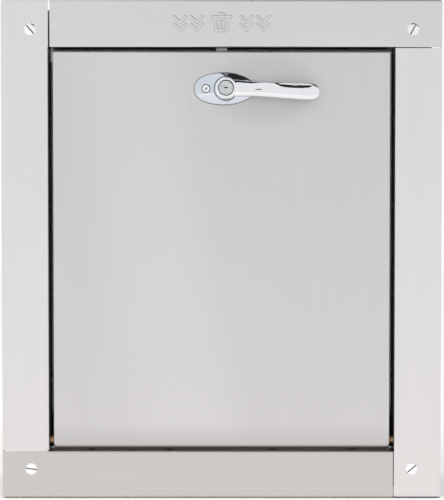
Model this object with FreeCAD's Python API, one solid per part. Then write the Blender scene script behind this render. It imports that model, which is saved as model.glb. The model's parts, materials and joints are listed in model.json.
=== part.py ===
import FreeCAD, Part
import math
import os

V = FreeCAD.Vector

# Rubbish-chute intake door: a bottom-hinged, insulated stainless leaf in a pinwheel face frame,
# on a galvanised wall sleeve.  +Z is up, the face looks along -Y, and y = 0 is the wall plane.
# The origin is the centre of the face frame in the wall plane.  Millimetres throughout.

# ---- driving dimensions -----------------------------------------------------------------
FRAME_W = 498.0            # face frame, outside
FRAME_H = 564.0
MEMBER = 53.2              # face width of each frame member
PROUD = 12.0               # how far the frame face stands off the wall
SHEET = 1.5                # stainless and galvanised sheet
BEND_IN = 0.6              # inside radius of every sharp fold
SEAM = 1.0                 # visible butt gap between frame members
WIDE_SEAM = 1.9            # the same where the top rail meets the left stile
SIDE_GAP = 5.0             # leaf to frame
TOP_GAP = 4.6
BOTTOM_GAP = 1.4
LEAF_T = 36.0              # leaf thickness
ROLL_R = 11.0              # rolled bottom edge of the leaf, concentric with the hinge axis
STOP_Y = 28.0              # front of the stop flange behind the leaf
STOP_W = 14.0              # width of the stop flange
SLEEVE_D = 200.0           # sleeve depth behind the wall plane
FLOOR_DROP = 22.0          # fall of the sleeve floor towards the chute
FLANGE_W = 40.0            # sleeve's front flange, against the wall
REAR_FLANGE = 24.0         # sleeve's rear flange, against the chute
OPEN_DEG = 45.0            # leaf travel
HANDLE_X = 5.0             # handle axis
HANDLE_Z = 182.0
HANDLE_TURN = 60.0         # handle travel in degrees

# ---- worked out from them ---------------------------------------------------------------
BEND_OUT = BEND_IN + SHEET
OPEN_W = FRAME_W - 2 * MEMBER
OPEN_H = FRAME_H - 2 * MEMBER
HALF_W = OPEN_W / 2
HALF_H = OPEN_H / 2
LEAF_X = HALF_W - SIDE_GAP
LEAF_TOP = HALF_H - TOP_GAP
LEAF_BOT = -HALF_H + BOTTOM_GAP
FACE_Y = -PROUD
LEAF_BACK = FACE_Y + LEAF_T
HINGE_Y = FACE_Y + ROLL_R
HINGE_Z = LEAF_BOT + ROLL_R
SLEEVE_X = HALF_W + SHEET              # inner face of the sleeve sides, on the jamb returns
SLEEVE_TOP = HALF_H + SHEET
SLEEVE_SILL = -HALF_H - SHEET
FLOOR_REAR = SLEEVE_SILL - FLOOR_DROP


# ---- helpers ------------------------------------------------------------------------------
def block(x0, x1, y0, y1, z0, z1):
    """Box between opposite corners."""
    return Part.makeBox(x1 - x0, y1 - y0, z1 - z0, V(x0, y0, z0))


def rod(start, direction, radius, length):
    """Cylinder from start along direction."""
    return Part.makeCylinder(radius, length, V(*start), V(*direction))


def cone(start, direction, r0, r1, length):
    """Truncated cone from radius r0 at start to r1."""
    return Part.makeCone(r0, r1, length, V(*start), V(*direction))


def fuse(*shapes):
    """One shape from several, with merged faces."""
    whole = shapes[0]
    for s in shapes[1:]:
        whole = whole.fuse(s)
    return whole.removeSplitter()


def cut(shape, *tools):
    """shape less every tool."""
    for t in tools:
        shape = shape.cut(t)
    return shape


def group(shapes):
    """Several separate solids as one compound."""
    return Part.makeCompound(list(shapes))


def mirrored(shape):
    """The same piece on the other side of the YZ plane."""
    return shape.mirror(V(0, 0, 0), V(1, 0, 0))


def fillet(shape, radius, wanted):
    """Rounds the edges whose centre point passes the test wanted(point, edge)."""
    edges = [e for e in shape.Edges if wanted(e.CenterOfMass, e)]
    return shape.makeFillet(radius, edges)


def near(a, b):
    return abs(a - b) < 0.01


def folded(path, place, direction, t=SHEET, r_in=BEND_IN):
    """Folded sheet: path is the 2-D centreline, place(a, b) puts it in space, direction extrudes it."""
    r_mid = r_in + t / 2
    pts = [V(a, b, 0) for a, b in path]
    dirs = [(q - p).normalize() for p, q in zip(pts, pts[1:])]

    def side(s):
        """Edges of one skin of the sheet; s is +1 for the left side and -1 for the right."""
        edges = []
        normal = V(-dirs[0].y, dirs[0].x, 0)
        last = pts[0] + normal * (s * t / 2)
        for k in range(1, len(pts) - 1):
            d0, d1, corner = dirs[k - 1], dirs[k], pts[k]
            turn = 1.0 if d0.x * d1.y - d0.y * d1.x > 0 else -1.0
            half = d0.getAngle(d1) / 2
            n0 = V(-d0.y, d0.x, 0)
            n1 = V(-d1.y, d1.x, 0)
            setback = r_mid * math.tan(half)
            a = corner - d0 * setback
            b = corner + d1 * setback
            centre = a + n0 * (turn * r_mid)
            r = r_mid - s * turn * t / 2
            start = a + n0 * (s * t / 2)
            end = b + n1 * (s * t / 2)
            mid = centre + (corner - centre).normalize() * r
            edges.append((last, start))
            edges.append((start, mid, end))
            last = end
        normal = V(-dirs[-1].y, dirs[-1].x, 0)
        edges.append((last, pts[-1] + normal * (s * t / 2)))
        return edges

    def build(e):
        p = [V(*place(q.x, q.y)) for q in e]
        return Part.makeLine(p[0], p[1]) if len(p) == 2 else Part.Arc(*p).toShape()

    left, right = side(1), side(-1)
    ends = [(left[0][0], right[0][0]), (left[-1][-1], right[-1][-1])]
    edges = [build(e) for e in left + right + ends]
    wire = Part.Wire(Part.__sortEdges__(edges))
    return Part.Face(wire).extrude(V(*direction))


def slot_face(p, q, width, y):
    """Wire of a stroke with round ends from p to q, both (x, z), in the plane y."""
    d = V(q[0] - p[0], 0, q[1] - p[1])
    along = V(d).normalize()
    across = V(-along.z, 0, along.x) * (width / 2)
    cap = along * (width / 2)
    a, b = V(p[0], y, p[1]), V(q[0], y, q[1])
    return Part.Wire([
        Part.makeLine(a + across, b + across),
        Part.Arc(b + across, b + cap, b - across).toShape(),
        Part.makeLine(b - across, a - across),
        Part.Arc(a - across, a - cap, a + across).toShape(),
    ])


def coil(centre, direction, coil_r, wire_r, pitch, turns):
    """Helical spring of round wire, its axis from centre along direction (a unit axis)."""
    helix = Part.makeHelix(pitch, pitch * turns, coil_r)
    profile = Part.Wire(Part.makeCircle(wire_r, V(coil_r, 0, 0), V(0, 1, 0)))
    spring = Part.Wire(helix).makePipeShell([profile], True, True)
    spring = Part.Solid(spring) if spring.ShapeType == "Shell" else spring
    turn = FreeCAD.Rotation(V(0, 0, 1), V(*direction))
    spring.Placement = FreeCAD.Placement(V(*centre), turn)
    return spring


def rivet(at, direction, head_r=4.0, head_h=1.2, shank_r=2.0, shank=3.4):
    """Blind rivet: at is on the sheet's surface, direction points out through the head."""
    d = V(*direction)
    head = cone(at, direction, head_r, head_r * 0.55, head_h)
    start = V(*at) - d * shank
    return fuse(head, rod(tuple(start), direction, shank_r, shank))


def rivet_hole(at, direction, depth=12.0, shank_r=2.0):
    """Clear hole for a rivet, through whatever lies within depth each side of its seat."""
    start = V(*at) - V(*direction) * depth
    return rod(tuple(start), direction, shank_r, 2 * depth)


def rear_polar(radius, degrees):
    """(y, z) of a point at an angle behind the vertical through the hinge axis."""
    a = math.radians(degrees)
    return HINGE_Y + radius * math.sin(a), HINGE_Z + radius * math.cos(a)


# ---- face frame -----------------------------------------------------------------------------
def member(half_open, opening, stop=True):
    """One pinwheel member, as the left stile: runs up +Z past the opening into the top corner."""
    outer = half_open + MEMBER
    x_out = -(outer - SHEET / 2)
    x_jamb = -(half_open + SHEET / 2)
    y_face = FACE_Y + SHEET / 2
    z0 = -opening / 2 + SEAM
    path = [(x_out, 0), (x_out, y_face), (x_jamb, y_face)]
    if stop:
        path += [(x_jamb, STOP_Y + SHEET / 2), (-half_open + STOP_W, STOP_Y + SHEET / 2)]
    else:
        path += [(x_jamb, STOP_Y)]
    run = folded(path, lambda a, b: (a, b, z0), (0, 0, opening - SEAM))
    corner = block(-outer, -half_open, FACE_Y, 0, opening / 2, opening / 2 + MEMBER)
    inner = block(-outer + SHEET, -half_open + 5, FACE_Y + SHEET, 5,
                  opening / 2 - 5, opening / 2 + MEMBER - SHEET)
    top = opening / 2 + MEMBER

    def outside(p, e):
        front_left = near(p.x, -outer) and near(p.y, FACE_Y)
        front_top = near(p.y, FACE_Y) and near(p.z, top)
        upright = near(p.x, -outer) and near(p.z, top)
        return front_left or front_top or upright

    def inside(p, e):
        front_left = near(p.x, -outer + SHEET) and near(p.y, FACE_Y + SHEET)
        front_top = near(p.y, FACE_Y + SHEET) and near(p.z, top - SHEET)
        upright = near(p.x, -outer + SHEET) and near(p.z, top - SHEET)
        return front_left or front_top or upright

    corner = fillet(corner, BEND_OUT, outside)
    inner = fillet(inner, BEND_IN, inside)
    return fuse(run, corner.cut(inner))


def turned(shape, degrees):
    """Turned about the +Y axis through the origin, from the left stile's place to another side."""
    copy = shape.copy()
    copy.rotate(V(0, 0, 0), V(0, 1, 0), degrees)
    return copy


SCREW_INSET = 33.0
SCREW_X = FRAME_W / 2 - SCREW_INSET
SCREW_Z = FRAME_H / 2 - SCREW_INSET
SCREW_HEAD_R = 6.6
SCREW_R = 3.0
SLOT_DEG = {(False, True): 48, (True, True): -62, (False, False): 8, (True, False): -40}
CORNERS = [(sx * SCREW_X, sz * SCREW_Z) for sx in (-1, 1) for sz in (-1, 1)]


def countersink(x, z):
    """Countersunk hole through the face sheet and the clip behind it."""
    bevel = cone((x, FACE_Y, z), (0, 1, 0), SCREW_HEAD_R + 0.05, SCREW_R + 0.1, 3.4)
    return fuse(bevel, rod((x, FACE_Y, z), (0, 1, 0), SCREW_R + 0.1, 20))


BUSH_R = 5.0
BOLT_X = 6.5
BOLT_Y0, BOLT_Y1 = 3.0, 15.0
STRIKE_SLOT = block(-8.2, 8.2, BOLT_Y0 - 1, BOLT_Y1 + 2, HALF_H - 1, SLEEVE_TOP + 4)

FRAME_RIVETS = []
for z in (-150.0, -50.0, 50.0, 150.0):
    FRAME_RIVETS.append(((-HALF_W, 14.0, z), (1, 0, 0)))
    FRAME_RIVETS.append(((HALF_W, 14.0, z), (-1, 0, 0)))
for x in (-150.0, -60.0, 60.0, 150.0):
    FRAME_RIVETS.append(((x, 22.0, HALF_H), (0, 0, -1)))
    FRAME_RIVETS.append(((x, 22.0, -HALF_H), (0, 0, 1)))
RIVET_HOLES = [rivet_hole(at, d) for at, d in FRAME_RIVETS]


def pictogram():
    """Raised waste-bin sign with falling chevrons on the top rail: tapered strokes, no lettering."""
    zc = HALF_H + MEMBER / 2 + 1.0
    lift, wide, narrow = 0.9, 4.0, 2.4
    strokes = []
    for side in (-1, 1):
        strokes.append(((side * 8.0, zc + 5.5), (side * 6.4, zc - 9.0)))
        strokes.append(((side * 2.3, zc + 1.2), (side * 2.0, zc - 5.2)))
        for k in range(2):
            x = side * (28.0 + 19.0 * k)
            for leg in (-1, 1):
                strokes.append(((x + leg * 6.5, zc + 6.5), (x, zc)))
                strokes.append(((x + leg * 6.5, zc - 2.0), (x, zc - 8.5)))
    strokes.append(((-6.4, zc - 9.0), (6.4, zc - 9.0)))
    strokes.append(((-10.5, zc + 6.6), (10.5, zc + 6.6)))
    strokes.append(((-2.6, zc + 9.6), (2.6, zc + 9.6)))
    solids = []
    for p, q in strokes:
        base = slot_face(p, q, wide, FACE_Y + 0.3)
        crest = slot_face(p, q, narrow, FACE_Y - lift)
        solids.append(Part.makeLoft([base, crest], True, True))
    return fuse(*solids)


def face_frame():
    """The four members, each with its own holes."""
    holes = [countersink(x, z) for x, z in CORNERS]
    bush_hole = rod((-FRAME_W, HINGE_Y, HINGE_Z), (1, 0, 0), BUSH_R + 0.03, 2 * FRAME_W)
    # the stop flanges of neighbours would meet in the corners, so the stiles' are cut short
    corner_trim = block(-HALF_W, HALF_W, STOP_Y - 1, STOP_Y + 4, HALF_H - STOP_W - 0.3, HALF_H + 1)
    # the leaf's lower back edge swings through here, so the stops begin above it
    low_trim = block(-HALF_W + 0.8, HALF_W - 0.8, LEAF_BACK + 1, STOP_Y + 4, -HALF_H - 1, HINGE_Z + 20)
    stile = member(HALF_W, OPEN_H)
    rail = member(HALF_H, OPEN_W)
    sill = member(HALF_H, OPEN_W, stop=False)
    left = cut(stile, *holes, bush_hole, corner_trim, low_trim, *RIVET_HOLES)
    right = cut(turned(stile, 180), *holes, bush_hole, corner_trim, low_trim, *RIVET_HOLES)
    butt = block(-HALF_W, -HALF_W + WIDE_SEAM, FACE_Y - 1, STOP_Y + 4, HALF_H - STOP_W - 1, FRAME_H)
    top = cut(turned(rail, 90), *holes, butt, STRIKE_SLOT, *RIVET_HOLES).fuse(pictogram())
    bottom = cut(turned(sill, 270), *holes, *RIVET_HOLES)
    return {"stile_left": left, "stile_right": right,
            "rail_top": top.removeSplitter(), "rail_bottom": bottom}


def corner_fixings():
    """Channel clips behind the corners, the screws through them, and the nuts they end in."""
    clips, screws, nuts = [], [], []
    for x, z in CORNERS:
        depth = PROUD - SHEET - SHEET
        clip = block(x - 14, x + 14, FACE_Y + SHEET, FACE_Y + SHEET + depth, z - 14, z + 14)
        hollow = block(x - 12, x + 12, FACE_Y + SHEET + 2.5, 1, z - 15, z + 15)
        clips.append(cut(clip, hollow, countersink(x, z)))
        head = cone((x, FACE_Y, z), (0, 1, 0), SCREW_HEAD_R, SCREW_R, 3.4)
        crown = cone((x, FACE_Y - 0.5, z), (0, 1, 0), SCREW_HEAD_R - 1.1, SCREW_HEAD_R, 0.5)
        screw = fuse(crown, head, rod((x, FACE_Y, z), (0, 1, 0), SCREW_R, PROUD + 7))
        slot = block(x - 8, x + 8, FACE_Y - 2, FACE_Y + 1.4, z - 0.7, z + 0.7)
        screws.append(turned_about(screw.cut(slot), (x, z), SLOT_DEG[x > 0, z > 0]))
        hexagon = Part.makePolygon([V(x + 6.2 * math.cos(k * math.pi / 3), 0,
                                      z + 6.2 * math.sin(k * math.pi / 3)) for k in range(7)])
        nut = Part.Face(hexagon).extrude(V(0, 5, 0))
        nuts.append(nut.cut(rod((x, -1, z), (0, 1, 0), SCREW_R, 9)))
    return {"corner_clips": group(clips), "corner_screws": group(screws),
            "corner_nuts": group(nuts)}


def turned_about(shape, at, degrees):
    """Turned about the line through at, (x, z), along Y."""
    copy = shape.copy()
    copy.rotate(V(at[0], 0, at[1]), V(0, 1, 0), degrees)
    return copy


# ---- wall sleeve ------------------------------------------------------------------------------
CHUTE_HOLE_R = 4.5
CHUTE_HOLE_X = 170.0
CHUTE_HOLE_TOP = SLEEVE_TOP + SHEET + 13.0
CHUTE_HOLE_BOT = FLOOR_REAR - 13.0
JAMB_HOLE_R = 4.5
JAMB_HOLE_Y = 120.0
JAMB_HOLES_Z = (60.0, 180.0)
BRACKET_X0 = SLEEVE_X + SHEET
BRACKET_X1 = BRACKET_X0 + 36.0
STOP_PIN_R = 150.0
STOP_PIN_DEG = 15.0
STOP_PIN_Y, STOP_PIN_Z = rear_polar(STOP_PIN_R, STOP_PIN_DEG)


def sleeve_side():
    """Right side of the sleeve: front flange on the wall, side sheet, rear flange on the chute."""
    x = SLEEVE_X + SHEET / 2
    path = [(x + FLANGE_W, -SHEET / 2), (x, -SHEET / 2), (x, SLEEVE_D - SHEET / 2),
            (x + REAR_FLANGE, SLEEVE_D - SHEET / 2)]
    z0 = FLOOR_REAR - SHEET
    sheet = folded(path, lambda a, b: (a, b, z0), (0, 0, SLEEVE_TOP - z0))
    under = Part.Face(Part.makePolygon([
        V(SLEEVE_X - 5, -5, SLEEVE_SILL), V(SLEEVE_X - 5, STOP_Y, SLEEVE_SILL),
        V(SLEEVE_X - 5, SLEEVE_D + 5, FLOOR_REAR), V(SLEEVE_X - 5, SLEEVE_D + 5, z0 - 9),
        V(SLEEVE_X - 5, -5, z0 - 9), V(SLEEVE_X - 5, -5, SLEEVE_SILL)])).extrude(V(90, 0, 0))
    notch = block(SLEEVE_X + SHEET, BRACKET_X1 + 9, -5, SHEET * 2,
                  HINGE_Z - 15, HINGE_Z + 15)
    holes = [rod((SLEEVE_X - 5, JAMB_HOLE_Y, z), (1, 0, 0), JAMB_HOLE_R, 12) for z in JAMB_HOLES_Z]
    holes.append(rod((SLEEVE_X - 5, HINGE_Y, HINGE_Z), (1, 0, 0), BUSH_R + 0.03, 12))
    holes.append(rod((SLEEVE_X - 5, STOP_PIN_Y, STOP_PIN_Z), (1, 0, 0), 3.5, 12))
    for y, z in SPINE_RIVETS:
        holes.append(rivet_hole((SLEEVE_X + SHEET, y, z), (1, 0, 0)))
    return cut(sheet, under, notch, *holes, *RIVET_HOLES)


# rivets joining the sleeve's corners, through the folded-down edges of the top and floor
SPINE_RIVETS = [(y, SLEEVE_TOP - 9.0) for y in (60.0, 110.0, 160.0)]


def sleeve_top():
    """Top of the sleeve: a folded sheet with short edges turned down inside the sides."""
    z = SLEEVE_TOP + SHEET / 2
    path = [(-SHEET / 2, z + FLANGE_W), (-SHEET / 2, z), (SLEEVE_D - SHEET / 2, z),
            (SLEEVE_D - SHEET / 2, z + REAR_FLANGE)]
    width = SLEEVE_X + SHEET
    flange_x = SLEEVE_X + SHEET / 2 + FLANGE_W
    sheet = folded(path, lambda a, b: (-width, a, b), (2 * width, 0, 0))
    wing = block(-flange_x, flange_x, -SHEET, 0, SLEEVE_TOP + 0.02, z + FLANGE_W)
    corner = block(-width - REAR_FLANGE + 1, width + REAR_FLANGE - 1, SLEEVE_D - SHEET, SLEEVE_D,
                   SLEEVE_TOP + SHEET + BEND_OUT, z + REAR_FLANGE)
    lip = block(SLEEVE_X - SHEET, SLEEVE_X, STOP_Y + SHEET + 6, SLEEVE_D - 8,
                SLEEVE_TOP - 18, SLEEVE_TOP + 0.5)
    holes = [rod((x, SLEEVE_D - 9, CHUTE_HOLE_TOP), (0, 1, 0), CHUTE_HOLE_R, 20)
             for x in (-CHUTE_HOLE_X, 0, CHUTE_HOLE_X)]
    holes += [rod((x, -9, SCREW_Z), (0, 1, 0), SCREW_R, 20) for x in (-SCREW_X, SCREW_X)]
    holes += [rivet_hole((s * SLEEVE_X, y, z), (s, 0, 0)) for y, z in SPINE_RIVETS for s in (-1, 1)]
    holes += [rivet_hole((x, 9.0, SLEEVE_TOP + SHEET), (0, 0, 1)) for x in STRIKE_RIVETS]
    return cut(fuse(sheet, wing, corner, lip, mirrored(lip)), STRIKE_SLOT, *holes, *RIVET_HOLES)


STRIKE_RIVETS = (-19.0, 19.0)


def sleeve_floor():
    """Floor of the sleeve: a front flange, a short flat under the sill, then a fall to the chute."""
    t = SHEET
    path = [(-t / 2, SLEEVE_SILL - t / 2 - FLANGE_W), (-t / 2, SLEEVE_SILL - t / 2),
            (STOP_Y, SLEEVE_SILL - t / 2), (SLEEVE_D - t / 2, FLOOR_REAR - t / 2),
            (SLEEVE_D - t / 2, FLOOR_REAR - t / 2 - REAR_FLANGE + 2)]
    sheet = folded(path, lambda a, b: (-SLEEVE_X + 0.05, a, b), (2 * SLEEVE_X - 0.1, 0, 0))
    flange_x = SLEEVE_X + SHEET / 2 + FLANGE_W
    wing = block(-flange_x, flange_x, -t, 0, SLEEVE_SILL - t / 2 - FLANGE_W, SLEEVE_SILL - 4)
    holes = [rod((x, SLEEVE_D - 9, CHUTE_HOLE_BOT), (0, 1, 0), CHUTE_HOLE_R, 20)
             for x in (-CHUTE_HOLE_X, 0, CHUTE_HOLE_X)]
    holes += [rod((x, -9, -SCREW_Z), (0, 1, 0), SCREW_R, 20) for x in (-SCREW_X, SCREW_X)]
    return cut(fuse(sheet, wing), *holes, *RIVET_HOLES)


def strike_box():
    """Pressed keeper over the bolt slot, above the sleeve top."""
    z = SLEEVE_TOP + SHEET
    y0, y1 = BEND_IN + 0.2, BOLT_Y1 + 4
    outer = block(-13, 13, y0, y1, z, z + 12)
    outer = fillet(outer, 2.5, lambda p, e: near(p.z, z + 12))
    feet = block(-25, 25, y0, y1, z, z + 1.5)
    hollow = block(-11.5, 11.5, y0 + 1.2, y1 - 1.5, z - 1, z + 10.5)
    holes = [rivet_hole((x, 9.0, z), (0, 0, 1)) for x in STRIKE_RIVETS]
    rivets = [rivet((x, 9.0, z + 1.5), (0, 0, 1), shank=3.0) for x in STRIKE_RIVETS]
    return {"strike_box": cut(fuse(outer, feet), hollow, *holes), "strike_rivets": group(rivets)}


def seals():
    """Half-round smoke seals on the stop flanges, just clear of the closed leaf."""
    back, front = STOP_Y, LEAF_BACK + 0.3
    z_low, z_high = HINGE_Z + 24, HALF_H - STOP_W - 1
    side = block(LEAF_X - 7.5, LEAF_X + 1.5, front, back, z_low, z_high)
    side = fillet(side, 2.6, lambda p, e: near(p.y, front) and near(p.z, (z_low + z_high) / 2))
    top = block(-LEAF_X + 1, LEAF_X - 1, front, back, HALF_H - STOP_W + 0.6, HALF_H - STOP_W + 9.0)
    top = fillet(top, 2.6, lambda p, e: near(p.y, front) and near(p.x, 0))
    return {"smoke_seal_right": side, "smoke_seal_left": mirrored(side), "smoke_seal_top": top}


# ---- hinges and closer springs ------------------------------------------------------------------
PIN_R = 3.5
BUSH_BORE = PIN_R + 0.05
PIN_END = BRACKET_X1 + 2.0
SPRING_X0 = BRACKET_X0 + 6.6
SPRING_WIRE = 1.5
SPRING_R = 6.2
CHEEK = 8.5                # bracket cheek, forward of the pin
BLOCK_HALF = 6.5           # pin block inside the leaf's rolled edge
SPRING_TURNS = 4.5


def hinge_bracket():
    """U bracket outside the sleeve: two cheeks that carry the pin, and a back."""
    z0, z1 = HINGE_Z - 11, HINGE_Z + 13
    inner = block(BRACKET_X0, BRACKET_X0 + 4, HINGE_Y - CHEEK, 20, z0, z1)
    outer = block(BRACKET_X1 - 3, BRACKET_X1, HINGE_Y - CHEEK, 20, z0, z1)
    back = block(BRACKET_X0, BRACKET_X1, 17, 20, z0, z1)
    foot = block(BRACKET_X0, BRACKET_X0 + 3, 17, 52, z0, z1)
    body = fuse(inner, outer, back, foot)
    body = fillet(body, 6, lambda p, e: near(p.y, HINGE_Y - CHEEK) and e.Length < 5)
    holes = [rod((BRACKET_X0 - 1, HINGE_Y, HINGE_Z), (1, 0, 0), BUSH_R, 6),
             rod((BRACKET_X1 - 5, HINGE_Y, HINGE_Z), (1, 0, 0), PIN_R + 0.08, 9)]
    holes += [rod((SLEEVE_X, y, HINGE_Z), (1, 0, 0), 2.5, 12) for y in BRACKET_SCREWS_Y]
    return cut(body, *holes)


BRACKET_SCREWS_Y = (29.0, 44.0)


def hinge_side():
    """Bracket, bush, pin, pin block, spring, screws and stop pin of the right side."""
    axis = (HINGE_Y, HINGE_Z)
    bush = rod((LEAF_X + 0.4, *axis), (1, 0, 0), BUSH_R, BRACKET_X0 + 4 - LEAF_X - 0.4)
    bush = fuse(bush, rod((BRACKET_X0 + 4, *axis), (1, 0, 0), BUSH_R + 1.4, 1.2))
    bush = cut(bush, rod((LEAF_X - 1, *axis), (1, 0, 0), BUSH_BORE, 30))
    pin = rod((LEAF_X - 22, *axis), (1, 0, 0), PIN_R, PIN_END - LEAF_X + 22)
    collar_x = BRACKET_X1 - 3 - 5.4
    collar = rod((collar_x, *axis), (1, 0, 0), SPRING_R + SPRING_WIRE + 0.7, 5.0)
    collar = fillet(collar, 0.8, lambda p, e: e.Length > 10)
    pin = fuse(pin, collar)
    holder = block(LEAF_X - 24, LEAF_X - SHEET, HINGE_Y - BLOCK_HALF, HINGE_Y + BLOCK_HALF,
                   HINGE_Z - BLOCK_HALF, HINGE_Z + BLOCK_HALF)
    holder = fillet(holder, 1.0, lambda p, e: near(p.x, LEAF_X - (24 + SHEET) / 2))
    holder = cut(holder, rod((LEAF_X - 22, *axis), (1, 0, 0), PIN_R, 30))
    length = collar_x - 0.5 - 2 * SPRING_WIRE - SPRING_X0
    spring = coil((SPRING_X0 + SPRING_WIRE, *axis), (1, 0, 0), SPRING_R, SPRING_WIRE,
                  length / SPRING_TURNS, SPRING_TURNS)
    screws = []
    for y in BRACKET_SCREWS_Y:
        head = cone((BRACKET_X0 + 3, y, HINGE_Z), (1, 0, 0), 4.6, 3.2, 2.4)
        body = rod((SLEEVE_X, y, HINGE_Z), (1, 0, 0), 2.5, SHEET + 3)
        slot = block(BRACKET_X0 + 4.2, BRACKET_X0 + 6, y - 5, y + 5, HINGE_Z - 0.6, HINGE_Z + 0.6)
        screws.append(cut(fuse(head, body), slot))
    return {"hinge_bracket": hinge_bracket(), "hinge_bush": bush, "hinge_pin": pin,
            "hinge_block": holder, "closer_spring": spring, "bracket_screws": group(screws)}


def hinge_screw_holes(shape):
    """Holes for the bracket screws in a sleeve side, both sides at once."""
    tools = [rod((-FRAME_W, y, HINGE_Z), (1, 0, 0), 2.5, 2 * FRAME_W) for y in BRACKET_SCREWS_Y]
    return cut(shape, *tools)


WING_X1 = HALF_W - STOP_W - 0.8
WING_X0 = WING_X1 - SHEET
WING_R = 212.0
WING_DEG = 65.0
WING_RIVETS_Z = (HINGE_Z + 30, HINGE_Z + 85, HINGE_Z + 140, HINGE_Z + 192)
SLOT_HALF = 5.6


def wing():
    """Quadrant side wing behind the leaf, with its mounting flange and the stop slot."""
    y0 = LEAF_BACK + SHEET / 2
    path = [(WING_X1 - 17, y0), (WING_X0 + SHEET / 2, y0), (WING_X0 + SHEET / 2, SLEEVE_D)]
    sheet = folded(path, lambda a, b: (a, b, HINGE_Z - 4), (0, 0, WING_R + 4))
    rim = math.degrees(math.asin((LEAF_BACK - HINGE_Y) / WING_R))

    def at(radius, degrees):
        y, z = rear_polar(radius, degrees)
        return V(WING_X1 - 20, y, z)

    front_top, back_top = at(WING_R, rim), at(WING_R, WING_DEG)
    mid = at(WING_R, (rim + WING_DEG) / 2)
    heel = at(52.0, WING_DEG)
    toe = V(heel.x, LEAF_BACK + 20, HINGE_Z)
    base = V(heel.x, LEAF_BACK, HINGE_Z)
    outline = Part.Wire([Part.Arc(front_top, mid, back_top).toShape(),
                         Part.makeLine(back_top, heel), Part.makeLine(heel, toe),
                         Part.makeLine(toe, base), Part.makeLine(base, front_top)])
    blank = Part.Face(outline).extrude(V(30, 0, 0))
    plate = sheet.common(blank)
    plate = fillet(plate, 12, lambda p, e: near(p.y, back_top.y) and near(p.z, back_top.z)
                   and e.Length < 3)
    low, high = STOP_PIN_DEG, STOP_PIN_DEG + OPEN_DEG
    ring = cut(rod((WING_X0 - 5, HINGE_Y, HINGE_Z), (1, 0, 0), STOP_PIN_R + SLOT_HALF, 12),
               rod((WING_X0 - 6, HINGE_Y, HINGE_Z), (1, 0, 0), STOP_PIN_R - SLOT_HALF, 14))
    far = 400.0
    y_l, z_l = rear_polar(far, low)
    y_h, z_h = rear_polar(far, high)
    wedge = Part.Face(Part.makePolygon([
        V(WING_X0 - 5, HINGE_Y, HINGE_Z), V(WING_X0 - 5, y_l, z_l), V(WING_X0 - 5, y_h, z_h),
        V(WING_X0 - 5, HINGE_Y, HINGE_Z)])).extrude(V(12, 0, 0))
    slot = [ring.common(wedge)]
    for deg in (low, high):
        y, z = rear_polar(STOP_PIN_R, deg)
        slot.append(rod((WING_X0 - 5, y, z), (1, 0, 0), SLOT_HALF, 12))
    slot = fuse(*slot)
    holes = [rivet_hole((WING_X1 - 9, LEAF_BACK + SHEET, z), (0, 1, 0)) for z in WING_RIVETS_Z]
    return cut(plate, slot, *holes)


def stop_pin():
    """Stop bolt on the sleeve side and the rubber buffer round it, in the wing's slot."""
    y, z = STOP_PIN_Y, STOP_PIN_Z
    bolt = rod((WING_X0 - 2.2, y, z), (1, 0, 0), 3.5, SLEEVE_X + SHEET + 5 - WING_X0 + 2.2)
    head = rod((WING_X0 - 5.2, y, z), (1, 0, 0), 8.5, 3.0)
    head = fillet(head, 1.0, lambda p, e: near(p.x, WING_X0 - 5.2))
    hexagon = Part.makePolygon([V(SLEEVE_X + SHEET, y + 6.5 * math.cos(k * math.pi / 3),
                                  z + 6.5 * math.sin(k * math.pi / 3)) for k in range(7)])
    nut = Part.Face(hexagon).extrude(V(5, 0, 0))
    nut = nut.cut(rod((SLEEVE_X, y, z), (1, 0, 0), 3.5, 9))
    buffer = rod((WING_X0 - 2.2, y, z), (1, 0, 0), 5.0, SLEEVE_X - WING_X0 + 2.2)
    buffer = cut(buffer, rod((WING_X0 - 9, y, z), (1, 0, 0), 3.5, 60))
    return {"stop_bolt": fuse(bolt, head), "stop_nut": nut, "stop_buffer": buffer}


# ---- leaf ---------------------------------------------------------------------------------------
CASE_X0, CASE_X1 = -16.0, 26.0
CASE_Y0, CASE_Y1 = 1.0, 17.0
CASE_Z0, CASE_Z1 = 157.0, 222.6
BASE_SCREW_DX = 22.4
COVER_LOW, COVER_HIGH = 138.0, LEAF_TOP - 13
COVER_SCREWS = [(HANDLE_X + side * 36, z) for side in (-1, 1)
                for z in (COVER_LOW + 5, COVER_HIGH - 5)]


def pan(inset):
    """Solid of the front pan's outside, shrunk by inset on every face but the open back."""
    x, t = LEAF_X - inset, inset
    back = LEAF_BACK + (5 if inset else 0)
    body = block(-x, x, FACE_Y + t, back, LEAF_BOT + t, LEAF_TOP - t)
    body = fillet(body, ROLL_R - t, lambda p, e: near(p.y, FACE_Y + t) and near(p.z, LEAF_BOT + t))
    small = BEND_OUT - t

    def rim(p, e):
        upright = near(abs(p.x), x) and near(p.y, FACE_Y + t)
        top = near(p.z, LEAF_TOP - t) and near(p.y, FACE_Y + t)
        arc = near(abs(p.x), x) and not e.Curve.TypeId == "Part::GeomLine"
        return upright or top or arc

    return fillet(body, small, rim)


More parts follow.
